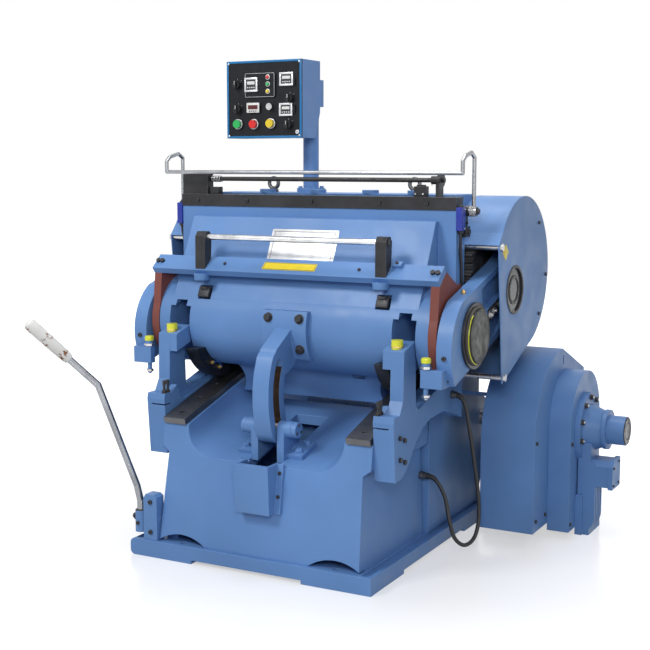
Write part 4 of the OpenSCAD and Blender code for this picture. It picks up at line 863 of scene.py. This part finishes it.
# -- clutch lever and its bracket
lever = Fitting("lever_fittings", "clutch_lever", "black")
lever.lathe((-535, -570, 177.8), UP,
            [(17.2, 0), (24, 0), (24.4, 1), (22, 4), (17.2, 4.6), (17.2, 0)], 40)
lever.cap_screw((-535, -594.8, 130), FRONT, 8, 6)
lever.hex_head((-559.8, -570, 150), (-1, 0, 0), 22, 10)
lever.done()
bracket = Fitting("lever_bracket_screws", "frame", "black")
for z in (100, 222):
    bracket.cap_screw((-474, -593.8, z), FRONT, 9, 7)
bracket.done()

# -- stock hooks under the crossbar
hooks = Fitting("stock_hooks", "platen", "black")
bosses = Fitting("hook_bosses", "platen", "enamel")
for s in (-1, 1):
    hooks.plate(on_front(s * 399, 49, -15), panel_out, 50, 46, 30, up=panel_dir, bevel=3)
    hooks.plate(on_front(s * 399, 62, 14.9), panel_out, 30, 12, 9, up=panel_dir, bevel=2)
    bosses.lathe((s * 399, -321, 1112), (0, 0, -1),
                 [(0, 0), (31, 0), (31, 22), (28, 27), (12, 28), (0, 28)], 48)
hooks.done(), bosses.done()

# -- cam pin bosses and the bolts of its brackets
caps = Fitting("cam_pin_covers", "frame", "enamel")
cap_screws = Fitting("cam_pin_screws", "frame", "black")
foot_bolts = Fitting("cam_bracket_bolts", "frame", "enamel")
for s in (-1, 1):
    caps.lathe((s * 100, CAM_Y, CAM_Z), (s, 0, 0),
               [(15.2, -0.1), (30.5, -0.1), (30.5, 19), (29, 21), (0, 21)], 56)
    for k in range(3):
        dy, dz = polar(19, 90 + 120 * k)
        cap_screws.cap_screw((s * 120.8, CAM_Y + dy, CAM_Z + dz), (s, 0, 0), 5, 4)
    for u in (-405, -335):
        foot_bolts.hex_head(rail_place(s * 118, u, -355.2), rail_dir(0, 1), 26, 14, turn=0.2)
caps.done(), cap_screws.done(), foot_bolts.done()


# -- worn steel lining of the cam slot, from the rolling motion of the platen
def seen_by_platen(y, z, a):
    """A fixed place as the platen sees it once it has rolled open by a radians."""
    dy, dz = y - AXIS_Y + a * ROCKER_R * RAIL_COS, z - AXIS_Z + a * ROCKER_R * RAIL_SIN
    return dy * math.cos(a) + dz * math.sin(a), -dy * math.sin(a) + dz * math.cos(a)


ROLL = STROKE / ROCKER_R
TRACK_STEPS = 24
track = [Vector(seen_by_platen(CAM_Y, CAM_Z, ROLL * i / TRACK_STEPS))
         for i in range(TRACK_STEPS + 1)]


def track_side(w):
    """The track's line, moved sideways by w."""
    out = []
    for i, p in enumerate(track):
        d = track[min(i + 1, TRACK_STEPS)] - track[max(i - 1, 0)]
        n = Vector((-d.y, d.x)).normalized()
        out.append(p + w * n)
    return out


lining = Fitting("cam_slot_lining", "platen", "worn_steel")
ARM_HALF = 34.6
for w0, w1 in ((22.25, 22.46), (-22.25, -22.46)):
    near, far = track_side(w0), track_side(w1)
    rows = []
    for a, b in zip(near, far):
        rows.append([lining.bm.verts.new(Vector((x, AXIS_Y + p.x, AXIS_Z + p.y)) * MM)
                     for x, p in ((-ARM_HALF, a), (ARM_HALF, a), (ARM_HALF, b), (-ARM_HALF, b))])
    for p, q in zip(rows, rows[1:]):
        for k in range(4):
            lining.bm.faces.new((p[k], p[(k + 1) % 4], q[(k + 1) % 4], q[k]))
    lining.bm.faces.new(rows[0][::-1])
    lining.bm.faces.new(rows[-1])
lining.done()

# -- safety switches at the ends of the platen, with their leads
for side, s in SIDES:
    box = Fitting("end_switch_" + side, "platen", "switch_blue")
    box.plate((s * 620.2, -114, 1344), (s, 0, 0), 38, 88, 25, bevel=2.5)
    box.plate((s * 645.1, -114, 1336), (s, 0, 0), 26, 50, 2, bevel=0.8)
    box.done()
    head = Fitting("end_switch_head_" + side, "platen", "black")
    head.lathe((s * 633, -114, 1387.9), UP,
               [(0, 0), (9, 0), (9, 5), (5, 7), (4, 12), (0, 13)], 28)
    head.lathe((s * 633, -114, 1300.1), (0, 0, -1),
               [(0, 0), (10, 0, 1), (10, 9, 1), (8, 12), (0, 12)], 36)
    pts = smooth_line([(s * 633, -114, 1290), (s * 632, -112, 1262), (s * 628, -100, 1215),
                       (s * 627, -86, 1160), (s * 626, -80, 1094)], 6)
    head.tube([tuple(p) for p in pts], 5.4, 14)
    head.done()
    gland = Fitting("end_switch_screws_" + side, "platen", "steel")
    for z in (1308, 1380):
        gland.cap_screw((s * 645.1, -104, z), (s, 0, 0), 3, 2)
    gland.done()

# -- lock bar in the recess of each rod, and the screws of the crossbar's ends
for side, s in SIDES:
    rod = "conrod_" + side
    lock = Fitting("lock_plate_" + side, rod, "black")
    lock.plate(rail_place(s * 713.1, 218, 23), (s, 0, 0), 164, 50, 3.2,
               up=rail_dir(0, 1), bevel=0.8)
    lock.done()
    nuts = Fitting("lock_nuts_" + side, rod, "steel")
    for u in (156, 200, 272):
        nuts.lathe(rail_place(s * 716.2, u, 23), (s, 0, 0),
                   [(0, 0), (17, 0), (17, 1.6), (13.2, 1.8), (13.2, 1.8, 1), (13.2, 7, 1),
                    (12, 8.4), (7, 8.4), (7, 13), (6, 14), (0, 14)], 36)
    nuts.done()
    tie = Fitting("felt_tie_" + side, "carriage", "yellow")
    loop = [polar(107.5, a) for a in range(128, 262, 6)]
    tie.tube([(s * 727.4, AXIS_Y + dy, AXIS_Z + dz) for dy, dz in loop], 2.2, 10)
    tie.done()
end_screws = Fitting("crossbar_screws", "platen", "black")
for s in (-1, 1):
    for x in (602, 622):
        end_screws.lathe((s * x, BAR_Y - BAR_SIN * 0.1, BAR_Z + BAR_COS * 0.1), bar_out,
                         [(0, 0), (9.6, 0), (9.6, 9), (8.8, 10), (5, 10, 1), (5, 8.4, 1),
                          (0, 8.4)], 36)
end_screws.done()

# -- smoked sight glass behind the window of each gear guard
glass = Fitting("sight_glass", "frame", "meter_dark")
glass_ring = Fitting("sight_glass_ring", "frame", "black")
for s in (-1, 1):
    glass.lathe((s * 747.6, WINDOW_Y, WINDOW_Z), (s, 0, 0),
                [(0, 0), (86, 0), (86, 2.6), (60, 3.0), (0, 2.0)], 72)
    glass_ring.lathe((s * 749.8, WINDOW_Y, WINDOW_Z), (s, 0, 0),
                     [(46, 0), (58, 0), (58, 3), (55, 4.4), (49, 4.4), (46, 3), (46, 0)], 64)
glass.done(), glass_ring.done()

# -- hand grip of the clutch lever, past the bend of its rod
lever_bend, rod_past_bend = Vector((-635, -700, 696)), 152
grip_dir = Vector((-171, -200, 260)).normalized()
grip = Fitting("hand_grip", "clutch_lever", "worn_white")
grip.lathe(lever_bend + rod_past_bend * grip_dir, grip_dir,
           [(14.2, 0), (17, 0), (20, 3), (21.5, 14), (23.6, 60), (24.6, 120), (25, 170), (25, 200),
            (23, 211), (17, 216), (0, 218)], 48)
grip_obj = grip.done()
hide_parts("lever_grip")

# ---- floor and light ---------------------------------------------------------
FLOOR_HALF = 12
FADE = (("From Min", 0.7), ("From Max", 2.4), ("To Min", 0.52), ("To Max", 1.0))
SKY_FILL, SKY_FILL_TINT = 0.20, (0.93, 0.96, 1, 1)
WHITE = (1, 1, 1, 1)

floor_mesh = bpy.data.meshes.new("floor")
bm = bmesh.new()
bmesh.ops.create_grid(bm, x_segments=1, y_segments=1, size=FLOOR_HALF)
bm.to_mesh(floor_mesh)
bm.free()
floor = bpy.data.objects.new("floor", floor_mesh)
scene.collection.objects.link(floor)
floor_shader = Shader("floor", (0.46, 0.47, 0.49), 0.2)
floor_shader.rough(floor_shader.ramp(floor_shader.noise(3), 0.16, 0.24))
# the open floor fades to pure white where it is seen or mirrored, and keeps the soft shadow
geometry = floor_shader.add("ShaderNodeNewGeometry")
away = floor_shader.add("ShaderNodeVectorMath", operation="LENGTH")
floor_shader.link(geometry.outputs["Position"], away.inputs[0])
fade = floor_shader.add("ShaderNodeMapRange", interpolation_type="SMOOTHSTEP")
for key, value in FADE:
    fade.inputs[key].default_value = value
floor_shader.link(away.outputs["Value"], fade.inputs["Value"])
seen = floor_shader.add("ShaderNodeLightPath")
either = floor_shader.add("ShaderNodeMath", operation="MAXIMUM")
floor_shader.link(seen.outputs["Is Camera Ray"], either.inputs[0])
floor_shader.link(seen.outputs["Is Glossy Ray"], either.inputs[1])
lift = floor_shader.add("ShaderNodeMath", operation="MULTIPLY")
floor_shader.link(fade.outputs["Result"], lift.inputs[0])
floor_shader.link(either.outputs["Value"], lift.inputs[1])
floor_shader.bsdf.inputs["Emission Color"].default_value = WHITE
floor_shader.link(lift.outputs["Value"], floor_shader.bsdf.inputs["Emission Strength"])
floor_mesh.materials.append(floor_shader.mat)

world = bpy.data.worlds.new("world")
scene.world = world
world.use_nodes = True
sky = world.node_tree.nodes["Background"]
nodes, links = world.node_tree.nodes, world.node_tree.links
path = nodes.new("ShaderNodeLightPath")
shown = nodes.new("ShaderNodeMath")
shown.operation = "MAXIMUM"
mirrored = nodes.new("ShaderNodeMath")
mirrored.operation = "MAXIMUM"
links.new(path.outputs["Is Glossy Ray"], mirrored.inputs[0])
links.new(path.outputs["Is Transmission Ray"], mirrored.inputs[1])
links.new(path.outputs["Is Camera Ray"], shown.inputs[0])
links.new(mirrored.outputs["Value"], shown.inputs[1])
# white where it is seen or mirrored, and a weak, slightly cool fill on the object
power = nodes.new("ShaderNodeMapRange")
power.inputs["To Min"].default_value = SKY_FILL
power.inputs["To Max"].default_value = 1.0
links.new(shown.outputs["Value"], power.inputs["Value"])
links.new(power.outputs["Result"], sky.inputs["Strength"])
tint = nodes.new("ShaderNodeMix")
tint.data_type = "RGBA"
tint.inputs[6].default_value = SKY_FILL_TINT
tint.inputs[7].default_value = WHITE
links.new(shown.outputs["Value"], tint.inputs[0])
links.new(tint.outputs[2], sky.inputs["Color"])


def area_light(name, place, target, size, power):
    data = bpy.data.lights.new(name, "AREA")
    data.shape = "RECTANGLE"
    data.size, data.size_y = size
    data.energy = power
    light = bpy.data.objects.new(name, data)
    light.location = place
    light.rotation_euler = (Vector(target) - Vector(place)).to_track_quat("-Z", "Y").to_euler()
    scene.collection.objects.link(light)
    return light


# soft boxes: place and target in metres, size in metres, power in watts
area_light("key", (-1.6, -3.6, 4.2), (0, -0.2, 0.8), (1.3, 1.3), 124)
area_light("front", (2.5, -4.6, 2.7), (0.5, 0, 0.6), (1.5, 1.2), 92)
area_light("side", (4.0, 0.9, 2.7), (0.8, 0.4, 0.7), (1.2, 1.6), 14)
area_light("top", (0.2, 0.5, 4.2), (0.1, 0, 0.8), (2.6, 1.6), 66)

scene.view_settings.view_transform = "Standard"
